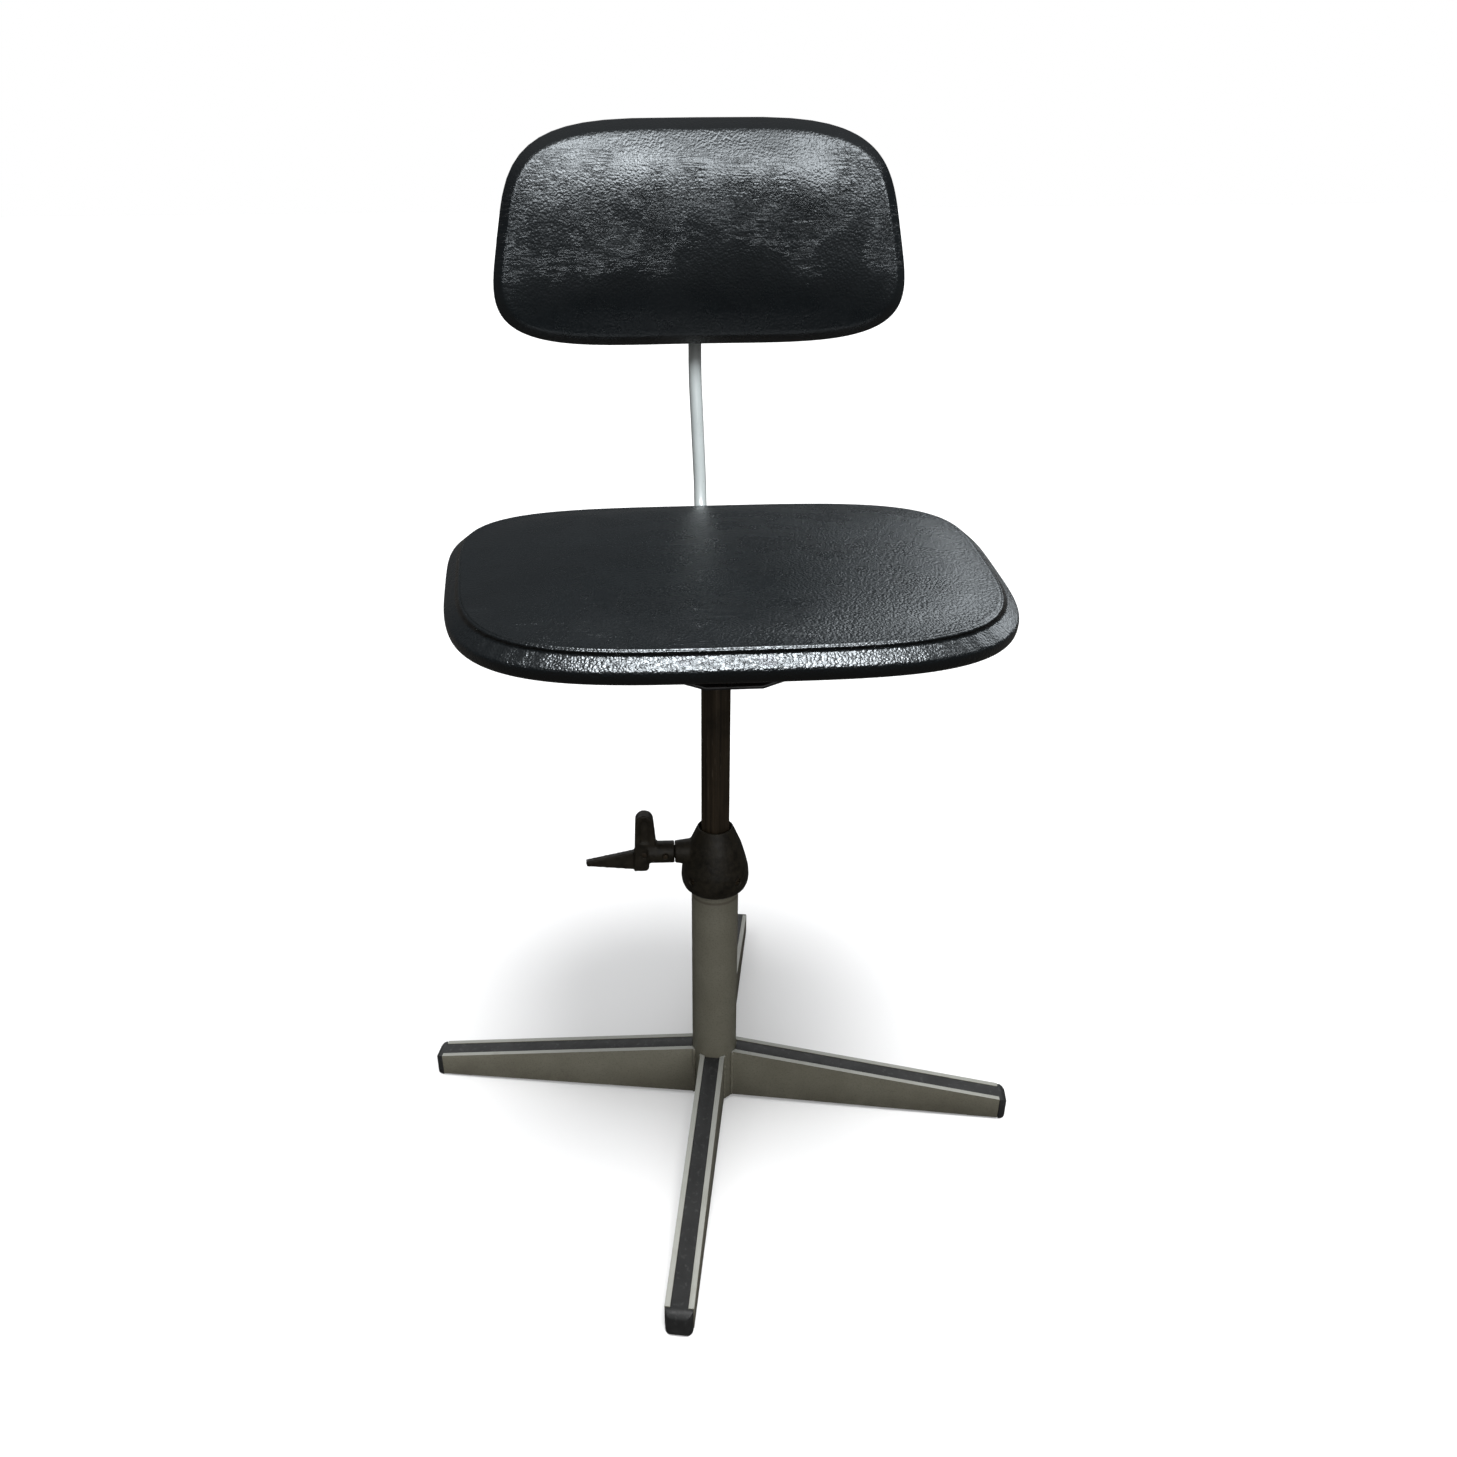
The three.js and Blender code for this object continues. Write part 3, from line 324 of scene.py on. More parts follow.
def moulded(name, colour, lighter, rough=(0.36, 0.5), grain=0.08):
    """Moulded plastic with a fine spark-eroded grain."""
    finish = Finish(name, Specular_IOR_Level=0.45)
    base = finish.mix(finish.remap(finish.noise(30, detail=5), 0.35, 0.7), colour, lighter)
    scuff = finish.remap(finish.noise(1, detail=5, stretch=(40, 300, 300)), 0.66, 0.72)
    finish.colour(finish.mix(finish.math("MULTIPLY", scuff, 0.35), base, tuple(4 * part + 0.02 for part in lighter)))
    finish.roughness(finish.remap(finish.noise(70, detail=5), 0.3, 0.7, *rough))
    layer = finish.bump(finish.cells(1500), grain * MM)
    finish.bump(finish.noise(220, detail=2), 0.06 * MM, layer)
    return finish.material


def plywood(name):
    finish = Finish(name, Specular_IOR_Level=0.35)
    rings = finish.noise(1, detail=4, stretch=(7, 90, 30), distortion=1.2)
    base = finish.mix(finish.remap(rings, 0.3, 0.7), (0.33, 0.19, 0.085), (0.50, 0.32, 0.16))
    pores = finish.remap(finish.noise(1, detail=3, stretch=(60, 1500, 900)), 0.6, 0.7)
    base = finish.mix(finish.math("MULTIPLY", pores, 0.6), base, (0.16, 0.085, 0.04))
    stain = finish.remap(finish.noise(8, detail=5), 0.5, 0.7)
    finish.colour(finish.mix(finish.math("MULTIPLY", stain, 0.45), base, (0.20, 0.13, 0.07)))
    finish.roughness(finish.remap(rings, 0.3, 0.7, 0.5, 0.68))
    finish.bump(finish.math("SUBTRACT", 1.0, pores), 0.08 * MM)
    return finish.material


SEAT_TINT = ((0.0014, 0.0022, 0.0026), (0.0026, 0.0038, 0.0043))
BACK_TINT = ((0.0020, 0.0029, 0.0035), (0.0034, 0.0047, 0.0055))
FINISHES = {
    "grey_paint": enamel("grey_enamel"),
    "light_paint": light_enamel("light_enamel"),
    "cast_paint": cast_enamel("cast_enamel"),
    "black_paint": black_enamel("black_enamel"),
    "stem_steel": stem_bar("oiled_steel"),
    "zinc_steel": plated("zinc_plate", (0.62, 0.63, 0.64), (0.34, 0.34, 0.33)),
    "brass": plated("brass_bare", (0.60, 0.42, 0.18), (0.30, 0.20, 0.09)),
    "rubber": rubber_finish("grey_rubber"),
    "black_plastic": moulded("black_plastic", (0.010, 0.0105, 0.011), (0.019, 0.0195, 0.020)),
    "nylon": moulded("natural_nylon", (0.62, 0.59, 0.50), (0.70, 0.68, 0.60), grain=0.03),
    "plywood": plywood("birch_plywood"),
}
SEAT_COVER = leatherette("seat_leatherette", (16, 150, 150), seat_crease_mask, SEAT_TINT, 0.32 * MM)
BACK_COVER = leatherette("back_leatherette", (42, 60, 330), back_crease_mask, BACK_TINT, 0.20 * MM)


# ---- CAD nodes: edges eased, shading smoothed and finishes given ---------------------------------

SMOOTH_ANGLE = math.radians(35)


def smoothing_group():
    """Geometry nodes that shade smooth across every edge flatter than SMOOTH_ANGLE."""
    tree = bpy.data.node_groups.new("smooth_by_angle", "GeometryNodeTree")
    tree.interface.new_socket("Geometry", in_out="INPUT", socket_type="NodeSocketGeometry")
    tree.interface.new_socket("Geometry", in_out="OUTPUT", socket_type="NodeSocketGeometry")
    nodes, links = tree.nodes, tree.links
    source, result = nodes.new("NodeGroupInput"), nodes.new("NodeGroupOutput")
    angle = nodes.new("GeometryNodeInputMeshEdgeAngle")
    flat = nodes.new("FunctionNodeCompare")
    flat.data_type, flat.operation = "FLOAT", "LESS_EQUAL"
    flat.inputs[1].default_value = SMOOTH_ANGLE
    edges, faces = nodes.new("GeometryNodeSetShadeSmooth"), nodes.new("GeometryNodeSetShadeSmooth")
    edges.domain, faces.domain = "EDGE", "FACE"
    links.new(angle.outputs[0], flat.inputs[0])
    links.new(flat.outputs[0], edges.inputs["Shade Smooth"])
    links.new(source.outputs[0], edges.inputs["Geometry"])
    links.new(edges.outputs[0], faces.inputs["Geometry"])
    links.new(faces.outputs[0], result.inputs[0])
    return tree


SMOOTHING = smoothing_group()


def weld(piece):
    modifier = piece.modifiers.new("weld", "WELD")
    modifier.merge_threshold = 0.01 * MM


def ease_edges(piece, width, segments=2):
    bevel = piece.modifiers.new("eased_edges", "BEVEL")
    bevel.width, bevel.segments = width, segments
    bevel.limit_method, bevel.angle_limit = "ANGLE", SMOOTH_ANGLE
    bevel.use_clamp_overlap = True
    smooth = piece.modifiers.new("smooth", "NODES")
    smooth.node_group = SMOOTHING


def soften_casting(piece, voxel, rounds):
    """Rounds every edge of a casting, as sand moulding and enamel do."""
    remesh = piece.modifiers.new("remesh", "REMESH")
    remesh.mode, remesh.voxel_size, remesh.use_smooth_shade = "VOXEL", voxel, True
    smooth = piece.modifiers.new("smooth", "SMOOTH")
    smooth.factor, smooth.iterations = 0.5, rounds


EDGE_WIDTHS = {"leg": 0.9, "tread": 1.4, "hex": 0.5, "seat_bracket": 0.8, "back_bracket": 0.8, "swivel": 0.6,
               "bar_socket": 1.0, "pivot_block": 1.2, "depth_knob": 0.8, "height_knob": 0.8, "bar_top": 0.6,
               "back_shell": 0.7, "foot": 0.6, "column": 0.4}
DEFAULT_EDGE = 0.25
CASTINGS = {"height_collar": (0.9 * MM, 7), "clamp_handle": (0.8 * MM, 8)}


def finish_nodes():
    slots = {row["node"]: row["material_slot"] for row in frame["record"]["subparts"]}
    for name, piece in NODES.items():
        slot = slots[name]
        if slot == "leatherette":
            continue
        piece.data.materials.clear()
        piece.data.materials.append(FINISHES[slot])
        weld(piece)
        if name in CASTINGS:
            soften_casting(piece, *CASTINGS[name])
            continue
        width = next((value for key, value in EDGE_WIDTHS.items() if name.startswith(key)), DEFAULT_EDGE)
        ease_edges(piece, width * MM)


finish_nodes()


# ---- Making pieces ------------------------------------------------------------------------------


def new_piece(name, vertices, faces, material, body):
    mesh = bpy.data.meshes.new(name)
    mesh.from_pydata([tuple(point) for point in vertices], [], faces)
    mesh.materials.append(material)
    mesh.polygons.foreach_set("use_smooth", [True] * len(mesh.polygons))
    mesh.update()
    piece = bpy.data.objects.new(name, mesh)
    bpy.context.scene.collection.objects.link(piece)
    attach(piece, body)
    return piece


# ---- Upholstery ---------------------------------------------------------------------------------


def even_angles(columns, width, depth, power, taper):
    """Angles round a tapered superellipse that give evenly spaced points."""
    samples = 24000
    angles = np.linspace(0, 2 * math.pi, samples + 1)
    points = outline_points(angles, width, depth, power, taper)
    steps = np.hypot(*np.diff(points, axis=0).T)
    run = np.concatenate([[0], np.cumsum(steps)])
    return np.interp(np.linspace(0, run[-1], columns, endpoint=False), run, angles)


def outline_points(angles, width, depth, power, taper, inset=0.0):
    across = np.sign(np.sin(angles)) * np.abs(np.sin(angles)) ** (2 / power)
    along = -np.sign(np.cos(angles)) * np.abs(np.cos(angles)) ** (2 / power)
    x = across * (width / 2 - inset) * (1 + taper * along)
    return np.stack([x, along * (depth / 2 - inset)], 1)


def round_corners(profile, rounds=2):
    """Chaikin's corner cutting on [share, inset, height] rows, keeping both ends."""
    rows = np.array(profile, float)
    for _ in range(rounds):
        cut = np.stack([0.75 * rows[:-1] + 0.25 * rows[1:], 0.25 * rows[:-1] + 0.75 * rows[1:]], 1)
        rows = np.concatenate([rows[:1], cut.reshape(-1, 3)[1:-1], rows[-1:]])
    return rows


def fill_rows(rows, half_size, spacing):
    """Adds rows so that none is further than spacing from the next."""
    filled = [rows[0]]
    for first, second in zip(rows[:-1], rows[1:]):
        span = np.array([(second[0] - first[0]) * half_size - (second[1] - first[1]), second[2] - first[2]])
        parts = max(1, math.ceil(np.hypot(*span) / spacing))
        filled += [first + (second - first) * step / parts for step in range(1, parts + 1)]
    return np.array(filled)


class Pad:
    """A closed upholstered form: rings of a superellipse outline that follow a profile from the middle of
    the top, over the edge, to the middle of the underside. Local Z is up out of the pad's face."""

    def __init__(self, size, power, taper, profile, columns, spacing=3.0 * MM):
        width, depth = size
        self.rows = fill_rows(np.array(profile, float), min(size) / 2, spacing)
        self.columns = columns
        angles = even_angles(columns, width, depth, power, taper)
        rings = []
        for share, inset, height in self.rows[1:-1]:
            flat = outline_points(angles, width, depth, power, taper, inset) * share
            rings.append(np.column_stack([flat, np.full(columns, height)]))
        top, bottom = self.rows[0], self.rows[-1]
        self.points = np.concatenate([[[0, 0, top[2]]], *rings, [[0, 0, bottom[2]]]])
        self.ring_count = len(rings)

    def faces(self):
        count, columns = self.ring_count, self.columns
        last = 1 + count * columns
        start = lambda ring: 1 + ring * columns
        faces = [(0, start(0) + (step + 1) % columns, start(0) + step) for step in range(columns)]
        for ring in range(count - 1):
            for step in range(columns):
                after = (step + 1) % columns
                faces.append((start(ring) + step, start(ring) + after, start(ring + 1) + after, start(ring + 1) + step))
        faces += [(last, start(count - 1) + step, start(count - 1) + (step + 1) % columns) for step in range(columns)]
        return faces

    def ring_rows(self):
        """The profile row of every point."""
        rows = np.repeat(self.rows[1:-1], self.columns, axis=0)
        return np.concatenate([self.rows[:1], rows, self.rows[-1:]])


def bell(distance, width):
    return np.exp(-((distance / width) ** 2))


def cloth_swelling(points, faces, held, voxel, cap, pressure=4.0):
    """How far each point moves when the form is blown up as cloth with its held points fixed, up to cap."""
    mesh = bpy.data.meshes.new("swelling")
    mesh.from_pydata([tuple(point) for point in points], [], faces)
    cloth = bpy.data.objects.new("swelling", mesh)
    bpy.context.scene.collection.objects.link(cloth)
    remesh = cloth.modifiers.new("remesh", "REMESH")
    remesh.mode, remesh.voxel_size = "VOXEL", voxel
    bpy.context.view_layer.update()
    graph = bpy.context.evaluated_depsgraph_get()
    cloth.data = bpy.data.meshes.new_from_object(cloth.evaluated_get(graph))
    cloth.modifiers.clear()
    rest = np.array([vertex.co for vertex in cloth.data.vertices])
    group = cloth.vertex_groups.new(name="held")
    group.add([index for index, point in enumerate(rest) if held(point)], 1.0, "REPLACE")
    modifier = cloth.modifiers.new("cloth", "CLOTH")
    settings = modifier.settings
    settings.quality, settings.mass = 5, 0.3
    settings.tension_stiffness = settings.compression_stiffness = 12
    settings.bending_stiffness = 0.4
    settings.use_pressure, settings.uniform_pressure_force = True, pressure
    settings.vertex_group_mass = "held"
    settings.effector_weights.gravity = 0
    modifier.point_cache.frame_start, modifier.point_cache.frame_end = 1, 20
    for step in range(1, 21):
        bpy.context.scene.frame_set(step)
    graph = bpy.context.evaluated_depsgraph_get()
    moved = np.array([vertex.co for vertex in cloth.evaluated_get(graph).data.vertices])
    bpy.context.scene.frame_set(1)
    shift = moved - rest
    length = np.linalg.norm(shift, axis=1)
    shift *= (np.minimum(length, cap) / np.maximum(length, 1e-9))[:, None]
    bpy.data.objects.remove(cloth)
    tree = KDTree(len(rest))
    for index, point in enumerate(rest):
        tree.insert(point, index)
    tree.balance()
    result = np.zeros_like(points)
    for index, point in enumerate(points):
        near = tree.find_n(point, 110)
        weights = bell(np.array([distance for _, _, distance in near]), 20 * MM)
        result[index] = weights @ shift[[found for _, found, _ in near]] / weights.sum()
    return result


SEAT_SIZE = (434 * MM, 399 * MM)
SEAT_POWER, SEAT_TAPER = 3.77, 0.09
SEAM_INSET, SEAM_HEIGHT = 13.0 * MM, 540.5 * MM
CROWN_HEIGHT = 547.0 * MM
BOARD_BOTTOM, BOARD_TOP = 521.6 * MM, 531.6 * MM
BOARD_EDGE = 6.6 * MM  # inset of the pad's inner wall, just outside the board
HEM_INSET = 26 * MM
HEM_BOTTOM = BOARD_BOTTOM - 1.3 * MM


def local_centre(node):
    """The middle of a CAD node's box, measured in the seat's turned frame."""
    turned = [SEAT_TURN.inverted() @ vertex.co for vertex in NODES[node].data.vertices]
    return Vector([(min(p[axis] for p in turned) + max(p[axis] for p in turned)) / 2 for axis in range(3)])


def seat_profile():
    crown = [(share, SEAM_INSET, CROWN_HEIGHT - (CROWN_HEIGHT - SEAM_HEIGHT) * share ** 3.6)
             for share in (0, 0.15, 0.3, 0.45, 0.6, 0.72, 0.82, 0.9, 0.955, 0.985)]
    seam = [(1, SEAM_INSET + offset * MM, SEAM_HEIGHT + lift * MM)
            for offset, lift in ((2.0, 0.3), (0.9, 0.2), (0.45, 0.0), (0.15, -0.75), (-0.1, -0.8), (-0.4, -0.35),
                                 (-0.9, -0.65), (-2.4, -1.85))]
    edge = [(1, inset * MM, height * MM) for inset, height in (
        (3.0, 532.3), (1.5, 531.0), (0.7, 530.1), (0.2, 529.0), (0.0, 527.0), (0.3, 524.0), (1.0, 521.8), (2.6, 520.5))]
    hem = [(1, 4.5 * MM, HEM_BOTTOM), (1, HEM_INSET - 1 * MM, HEM_BOTTOM), (1, HEM_INSET, HEM_BOTTOM + 0.5 * MM),
           (1, HEM_INSET - 1 * MM, BOARD_BOTTOM - 0.3 * MM), (1, BOARD_EDGE + 0.6 * MM, BOARD_BOTTOM - 0.3 * MM)]
    inner = [(1, BOARD_EDGE, BOARD_BOTTOM + 0.3 * MM), (1, BOARD_EDGE, BOARD_TOP), (0.99, BOARD_EDGE, BOARD_TOP + 0.4 * MM),
             (0.5, BOARD_EDGE, BOARD_TOP + 0.4 * MM), (0, 0, BOARD_TOP + 0.4 * MM)]
    return np.concatenate([crown, seam, round_corners([seam[-1], *edge, *hem, *inner])])


def gather(points, rows, size, centre_angles, spread, low, high, depth, folds):
    """Folds across the border near the corners, where the cover is pulled round them."""
    angle = np.arctan2(points[:, 0] / size[0], -points[:, 1] / size[1])
    height = points[:, 2]
    mask = np.clip((height - low) / (0.3 * (high - low)), 0, 1) * np.clip((high - height) / (0.3 * (high - low)), 0, 1)
    total = np.zeros(len(points))
    for corner, phase in centre_angles:
        away = (angle - corner + math.pi) % (2 * math.pi) - math.pi
        wave = np.sin(folds * away + phase + 2.2 * np.sin(9 * away + phase))
        total += bell(away, spread) * wave
    outward = points[:, :2] / np.maximum(np.linalg.norm(points[:, :2], axis=1), 1e-6)[:, None]
    points[:, :2] += outward * (total * mask * depth * (rows[:, 0] > 0.995))[:, None]
    return points


def make_seat_pad():
    pad = Pad(SEAT_SIZE, SEAT_POWER, SEAT_TAPER, seat_profile(), columns=560)
    points, rows = pad.points, pad.ring_rows()
    held = lambda point: point[2] < 533.5 * MM
    swell = cloth_swelling(points, pad.faces(), held, 5 * MM, 1.6 * MM)
    panel = np.clip((1 - rows[:, 0]) / 0.12, 0, 1) * (points[:, 2] > SEAM_HEIGHT - 1 * MM)
    points = points + swell * panel[:, None]
    corners = [(-0.72, 0.3), (0.72, 1.9), (2.42, 0.8), (-2.42, 2.6)]
    points = gather(points, rows, SEAT_SIZE, corners, 0.22, 529 * MM, 541 * MM, 0.45 * MM, 90)
    under = (rows[:, 2] < HEM_BOTTOM + 0.2 * MM) & (rows[:, 1] > 4 * MM)
    angle = np.arctan2(points[:, 0], points[:, 1])
    folds = 0.5 + 0.5 * np.sin(64 * angle + 3 * np.sin(11 * angle))
    points[:, 2] -= under * folds * 0.6 * MM * np.clip(np.abs(np.sin(2 * angle)) - 0.45, 0, 1)
    centre = local_centre("seat_pad")
    placed = [SEAT_TURN @ Vector((x + centre.x, y + centre.y, z)) for x, y, z in points]
    piece = new_piece("seat_cushion", placed, pad.faces(), SEAT_COVER, "seat")
    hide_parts("seat_pad")
    return piece


BACK_SIZE = (335.4 * MM, 173.5 * MM)
BACK_POWER, BACK_TAPER = 3.94, -0.1
BACK_WRAP = 31 * MM
BACK_RIM = Vector((0, 205.6 * MM, 764.7 * MM))  # middle of the rim's plane, in the seat's frame


def back_profile():
    face = [(share, 9 * MM, (29 - 12.6 * share ** 2.3) * MM)
            for share in (0, 0.2, 0.35, 0.5, 0.62, 0.74, 0.84, 0.92, 0.97)]
    side = [(1, inset * MM, height * MM) for inset, height in (
        (8.8, 16.2), (7.0, 15.0), (5.4, 13.0), (3.7, 10.4), (1.8, 7.4), (0.7, 5.8), (0.4, 4.6), (1.0, 3.4))]
    tucked = [(1, 3.0 * MM, 3.15 * MM), (1, 5.6 * MM, 3.15 * MM), (1, 6.2 * MM, 2.4 * MM), (1, 6.2 * MM, -1.9 * MM)]
    rear = [(1, 9 * MM, -2.1 * MM), (0.8, 6 * MM, -2.3 * MM), (0.5, 0, -2.6 * MM), (0, 0, -2.6 * MM)]
    return round_corners(face + side + tucked + rear)


def make_back_pad():
    pad = Pad(BACK_SIZE, BACK_POWER, BACK_TAPER, back_profile(), columns=400, spacing=2.2 * MM)
    points = pad.points
    swell = cloth_swelling(points, pad.faces(), lambda point: point[2] < 6 * MM, 4 * MM, 1.8 * MM)
    points = points + swell * np.clip((points[:, 2] - 6 * MM) / (8 * MM), 0, 1)[:, None]
    dents = 0.5 * MM * np.sin(points[:, 0] / (0.045)) * np.sin(points[:, 1] / 0.021 + points[:, 0] / 0.09)
    points[:, 2] += dents * np.clip((points[:, 2] - 18 * MM) / (8 * MM), 0, 1)
    placed = []
    for x, y, z in points:
        forward = BACK_WRAP * (x / (BACK_SIZE[0] / 2)) ** 2
        placed.append(SEAT_TURN @ (BACK_RIM + Vector((x, -z - forward, y))))
    piece = new_piece("back_cushion", placed, pad.faces(), BACK_COVER, "backrest")
    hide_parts("back_pad")
    return piece


seat_cushion = make_seat_pad()
back_cushion = make_back_pad()


# ---- Small details ------------------------------------------------------------------------------


def make_staples():
    """The row of staples that holds the cover's hem under the board."""
    width, depth = SEAT_SIZE
    centre = local_centre("seat_pad")
    angles = even_angles(44, width, depth, SEAT_POWER, SEAT_TAPER)
    path = outline_points(angles, width, depth, SEAT_POWER, SEAT_TAPER, 19 * MM)
    shape = bmesh.new()
    rng = random.Random(4)
    for index, (x, y) in enumerate(path):
        ahead = path[(index + 1) % len(path)] - path[index - 1]
        turn = math.atan2(ahead[1], ahead[0]) + rng.uniform(-0.35, 0.35)
        place = Matrix.Translation((x + centre.x, y + centre.y, HEM_BOTTOM - 0.25 * MM))
        staple = bmesh.ops.create_cube(shape, size=1, matrix=SEAT_TURN @ place @ Matrix.Rotation(turn, 4, "Z")
                                       @ Matrix.Diagonal((10.5 * MM, 1.2 * MM, 0.7 * MM, 1)))
        ends = [edge for edge in {e for v in staple["verts"] for e in v.link_edges}]
        bmesh.ops.bevel(shape, geom=ends, offset=0.25 * MM, segments=2, affect="EDGES")
    mesh = bpy.data.meshes.new("hem_staples")
    shape.to_mesh(mesh)
    shape.free()
    mesh.materials.append(FINISHES["zinc_steel"])
    piece = bpy.data.objects.new("hem_staples", mesh)
    bpy.context.scene.collection.objects.link(piece)
    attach(piece, "seat")


LEG_HALF_WIDTH = 11.75 * MM
LEG_TOP_AT_COLUMN, LEG_BOTTOM_AT_COLUMN = 58.5 * MM, 5.3 * MM


def make_weld_beads():
    """Lumpy weld beads down both sides of each leg, where it meets the column."""
    shape = bmesh.new()
    rng = random.Random(7)
    corner_x = math.sqrt(COLUMN_RADIUS ** 2 - LEG_HALF_WIDTH ** 2) + 0.9 * MM
    for quarter in range(4):
        turn = Matrix.Rotation(quarter * math.pi / 2, 4, "Z")
        for side in (-1, 1):
            height = LEG_BOTTOM_AT_COLUMN + 1.5 * MM
            while height < LEG_TOP_AT_COLUMN - 1.2 * MM:
                radius = rng.uniform(1.5, 2.1) * MM
                spot = Vector((corner_x + rng.uniform(-0.2, 0.2) * MM, side * (LEG_HALF_WIDTH + 0.2 * MM), height))
                bmesh.ops.create_icosphere(shape, subdivisions=2, radius=radius, matrix=turn @ Matrix.Translation(spot))
                height += rng.uniform(1.7, 2.3) * MM
    mesh = bpy.data.meshes.new("leg_weld_beads")
    shape.to_mesh(mesh)
    shape.free()
    mesh.materials.append(FINISHES["grey_paint"])
    piece = bpy.data.objects.new("leg_weld_beads", mesh)
    bpy.context.scene.collection.objects.link(piece)
    soften_casting(piece, 0.7 * MM, 2)
    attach(piece, "base")


def make_thread(name, body, centre, axis, radius, length, pitch=1.25 * MM, height=0.28 * MM):
    """A screw thread's ridge, wound round a CAD screw."""
    turns, steps = length / pitch, 20
    count = int(turns * steps)
    frame_turn = Vector((0, 0, 1)).rotation_difference(axis).to_matrix()
    vertices, faces = [], []
    for index in range(count + 1):
        angle = 2 * math.pi * index / steps
        rise = index / steps * pitch
        for reach, offset in ((-0.15 * MM, -0.42 * pitch), (height, 0), (-0.15 * MM, 0.42 * pitch)):
            spot = Vector(((radius + reach) * math.cos(angle), (radius + reach) * math.sin(angle), rise + offset))
            vertices.append(centre + frame_turn @ spot)
    for index in range(count):
        here, after = 3 * index, 3 * index + 3
        for first, second in ((0, 1), (1, 2), (2, 0)):
            faces.append((here + first, here + second, after + second, after + first))
    faces += [(2, 1, 0), (3 * count, 3 * count + 1, 3 * count + 2)]
    new_piece(name, vertices, faces, FINISHES["zinc_steel"], body)


make_staples()
make_weld_beads()
screw_x, screw_y, _ = JOINTS["depth_clamp_turn"]["pos_m"]
knob_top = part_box("depth_knob")[1].z
make_thread("depth_screw_thread", "depth_clamp", Vector((screw_x, screw_y, knob_top)), Vector((0, 0, 1)),
            4 * MM, 493 * MM - knob_top)


# ---- Floor, light and camera --------------------------------------------------------------------


def lit_apart(nodes, links, seen, around, result):
    """Gives the camera one look of the studio and the light that falls on the chair another."""
    path, choice = nodes.new("ShaderNodeLightPath"), nodes.new("ShaderNodeMixShader")
    links.new(path.outputs["Is Camera Ray"], choice.inputs[0])
    links.new(around, choice.inputs[1])
    links.new(seen, choice.inputs[2])
    links.new(choice.outputs[0], result)


def make_floor():
    """A pale floor, which the chair's gloss reflects as dark, as it would a real room's."""
    mesh = bpy.data.meshes.new("floor")
    reach = 60.0
    corners = [(-reach, -reach, 0), (reach, -reach, 0), (reach, reach, 0), (-reach, reach, 0)]
    mesh.from_pydata(corners, [], [(0, 1, 2, 3)])
    floor = bpy.data.objects.new("floor", mesh)
    bpy.context.scene.collection.objects.link(floor)
    finish = Finish("pale_floor", Specular_IOR_Level=0.1)
    finish.colour(finish.mix(finish.noise(0.6, detail=2), (0.85, 0.85, 0.85), (0.88, 0.88, 0.88)))
    finish.roughness(finish.remap(finish.noise(3), 0, 1, 0.8, 0.9))
    dark = finish.add("ShaderNodeBsdfDiffuse")
    dark.inputs["Color"].default_value = (0.06, 0.058, 0.055, 1)
    result = finish.tree.nodes["Material Output"].inputs["Surface"]
    lit_apart(finish.tree.nodes, finish.tree.links, finish.shader.outputs[0], dark.outputs[0], result)
    mesh.materials.append(finish.material)
    return floor


def make_sun(name, azimuth, elevation, spread, strength, colour=(1, 1, 1), falls_on=()):
    """A distant soft light. Azimuth 0 shines from -Y, and 90 from +X; spread is its width in degrees.
    Flagged off, as in a studio, from all but the pieces that it falls on, if any are given."""
    light = bpy.data.lights.new(name, "SUN")
    light.energy, light.angle, light.color = strength, math.radians(spread), colour
    lamp = bpy.data.objects.new(name, light)
    turn, rise = math.radians(azimuth), math.radians(elevation)
    towards = Vector((math.sin(turn) * math.cos(rise), -math.cos(turn) * math.cos(rise), math.sin(rise)))
    lamp.rotation_mode = "QUATERNION"
    lamp.rotation_quaternion = towards.to_track_quat("Z", "Y")
    bpy.context.scene.collection.objects.link(lamp)
    if falls_on:
        lit = bpy.data.collections.new(f"lit_by_{name}")
        for piece in falls_on:
            lit.objects.link(piece)
        lamp.light_linking.receiver_collection = lit
    return light


def make_world():
    """Soft surroundings, dim at the horizon and brighter overhead, and pale where the camera sees them."""
    world = bpy.data.worlds.new("studio")
    bpy.context.scene.world = world
    world.use_nodes = True
    nodes, links = world.node_tree.nodes, world.node_tree.links
    nodes.clear()
    seen, around = nodes.new("ShaderNodeBackground"), nodes.new("ShaderNodeBackground")
    seen.inputs[0].default_value = (1, 1, 1, 1)
    place, split, ramp = nodes.new("ShaderNodeTexCoord"), nodes.new("ShaderNodeSeparateXYZ"), nodes.new("ShaderNodeValToRGB")
    links.new(place.outputs["Generated"], split.inputs[0])
    links.new(split.outputs["Z"], ramp.inputs[0])
    low, high = ramp.color_ramp.elements
    low.position, low.color = 0.38, (0.075, 0.08, 0.085, 1)
    high.position, high.color = 0.95, (0.34, 0.35, 0.36, 1)
    links.new(ramp.outputs[0], around.inputs[0])
    result = nodes.new("ShaderNodeOutputWorld")
    lit_apart(nodes, links, seen.outputs[0], around.outputs[0], result.inputs[0])


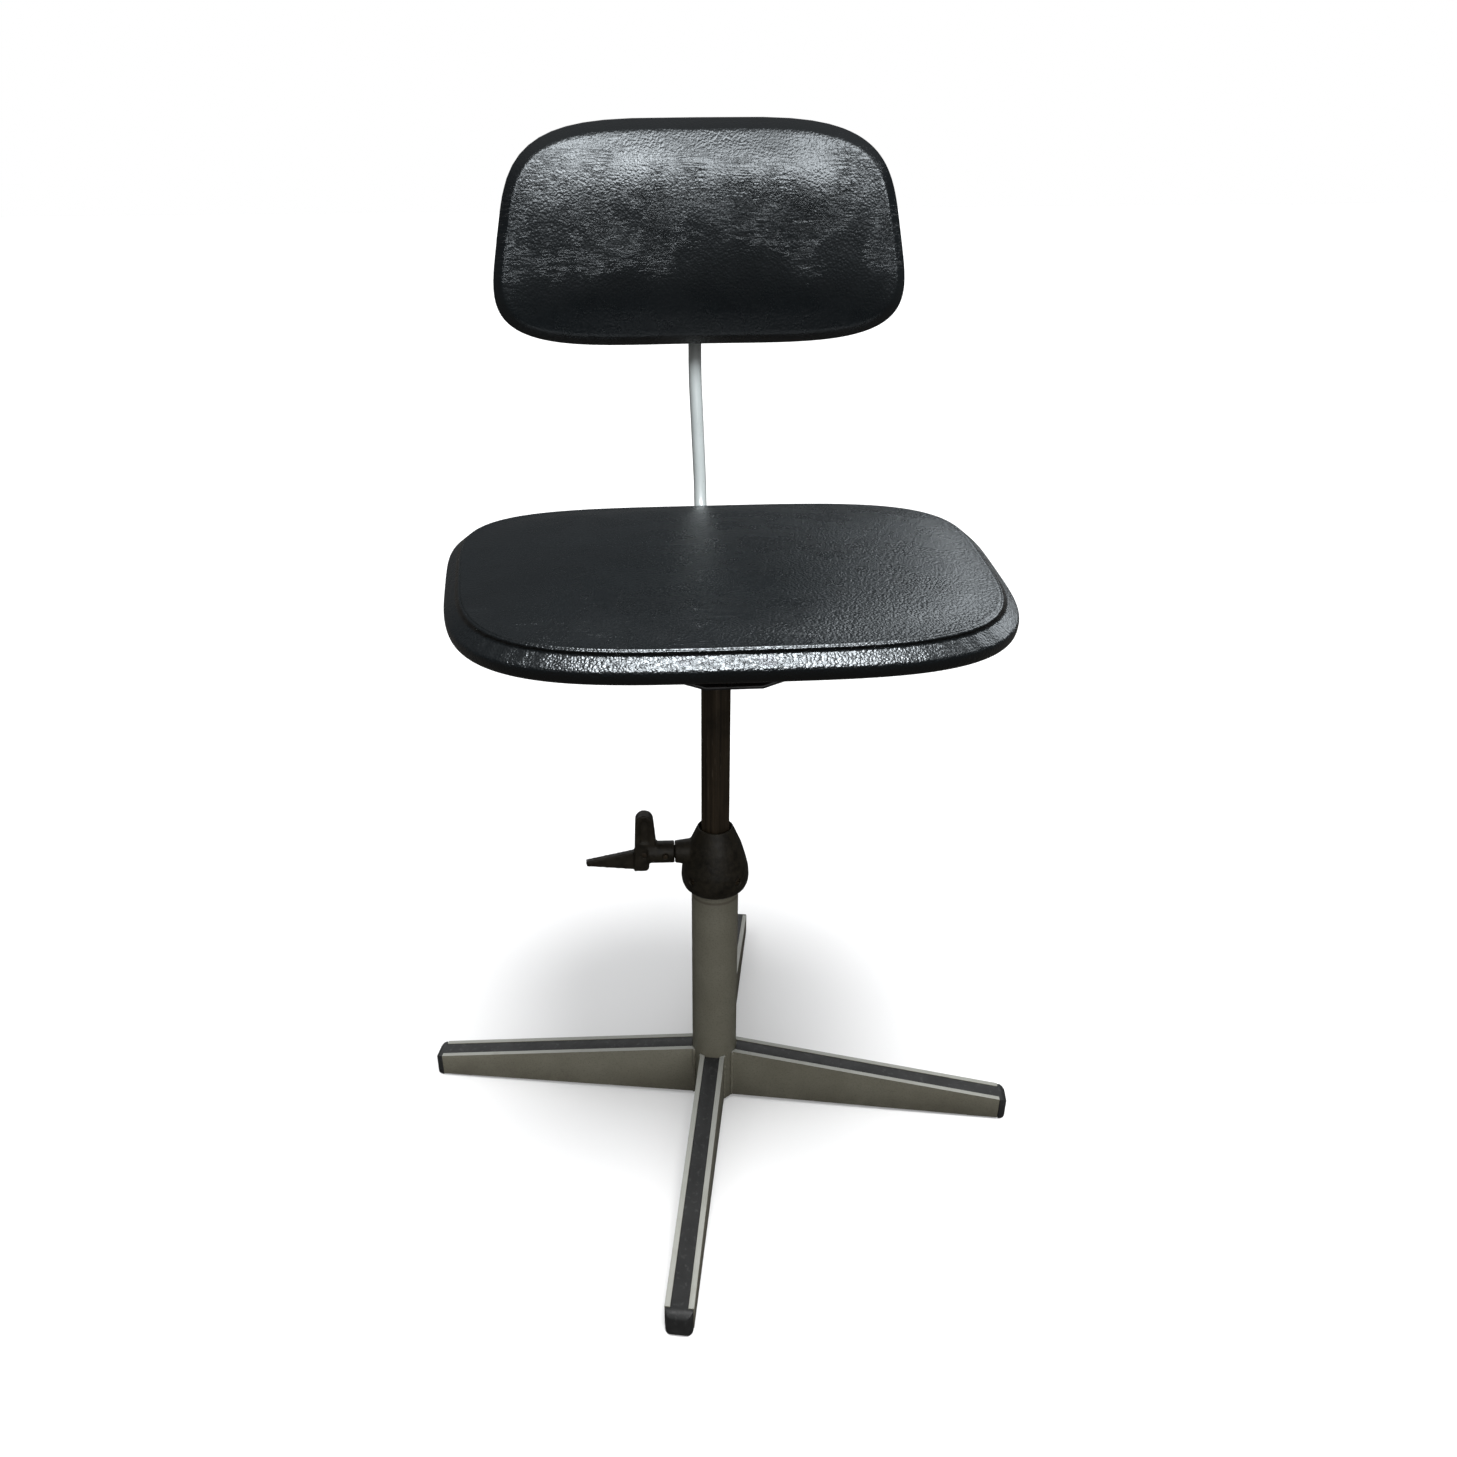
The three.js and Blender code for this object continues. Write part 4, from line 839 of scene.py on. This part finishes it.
def make_camera():
    location = Vector((0.08417, -0.87380, 0.79695))
    forward = Vector((-0.11634, 0.87825, -0.46384)).normalized()
    level_right = forward.cross(Vector((0, 0, 1))).normalized()
    level_up = level_right.cross(forward)
    roll = math.radians(-0.6871)
    right = math.cos(roll) * level_right + math.sin(roll) * level_up
    up = math.cos(roll) * level_up - math.sin(roll) * level_right
    data = bpy.data.cameras.new("camera")
    data.lens, data.sensor_width = 28.225, 36
    data.shift_x, data.shift_y = 0.0338, 0.04267
    data.clip_start, data.clip_end = 0.01, 200
    camera = bpy.data.objects.new("camera", data)
    camera.matrix_world = Matrix.Translation(location) @ Matrix((right, up, -forward)).transposed().to_4x4()
    bpy.context.scene.collection.objects.link(camera)
    bpy.context.scene.camera = camera


COOL = (0.88, 0.95, 1.0)
frame_pieces = [piece for piece in bpy.data.objects
                if piece.type == "MESH" and piece not in (seat_cushion, back_cushion)]
floor = make_floor()
make_sun("overhead", azimuth=26, elevation=77, spread=26, strength=2.2, falls_on=[*frame_pieces, floor])
make_sun("ceiling", azimuth=20, elevation=62, spread=110, strength=0.9, falls_on=[*frame_pieces, floor])
make_sun("behind", azimuth=195, elevation=38, spread=80, strength=0.9, falls_on=frame_pieces)
make_sun("frame_front", azimuth=15, elevation=24, spread=50, strength=0.9, falls_on=frame_pieces)
make_sun("seat_key", azimuth=26, elevation=77, spread=26, strength=7.0, colour=COOL, falls_on=[seat_cushion])
make_sun("seat_haze", azimuth=148, elevation=29, spread=44, strength=1.3, colour=COOL, falls_on=[seat_cushion])
window_lit = [back_cushion, NODES["back_bar"]]
make_sun("window_right", azimuth=36, elevation=34, spread=24, strength=3.2, colour=COOL, falls_on=window_lit)
make_sun("window_front", azimuth=6, elevation=33, spread=22, strength=1.9, colour=COOL, falls_on=window_lit)
floor_fill = make_sun("floor_fill", azimuth=0, elevation=80, spread=60, strength=1.5, falls_on=[floor])
floor_fill.use_shadow = False
make_world()
make_camera()
bpy.context.scene.view_settings.view_transform = "Standard"
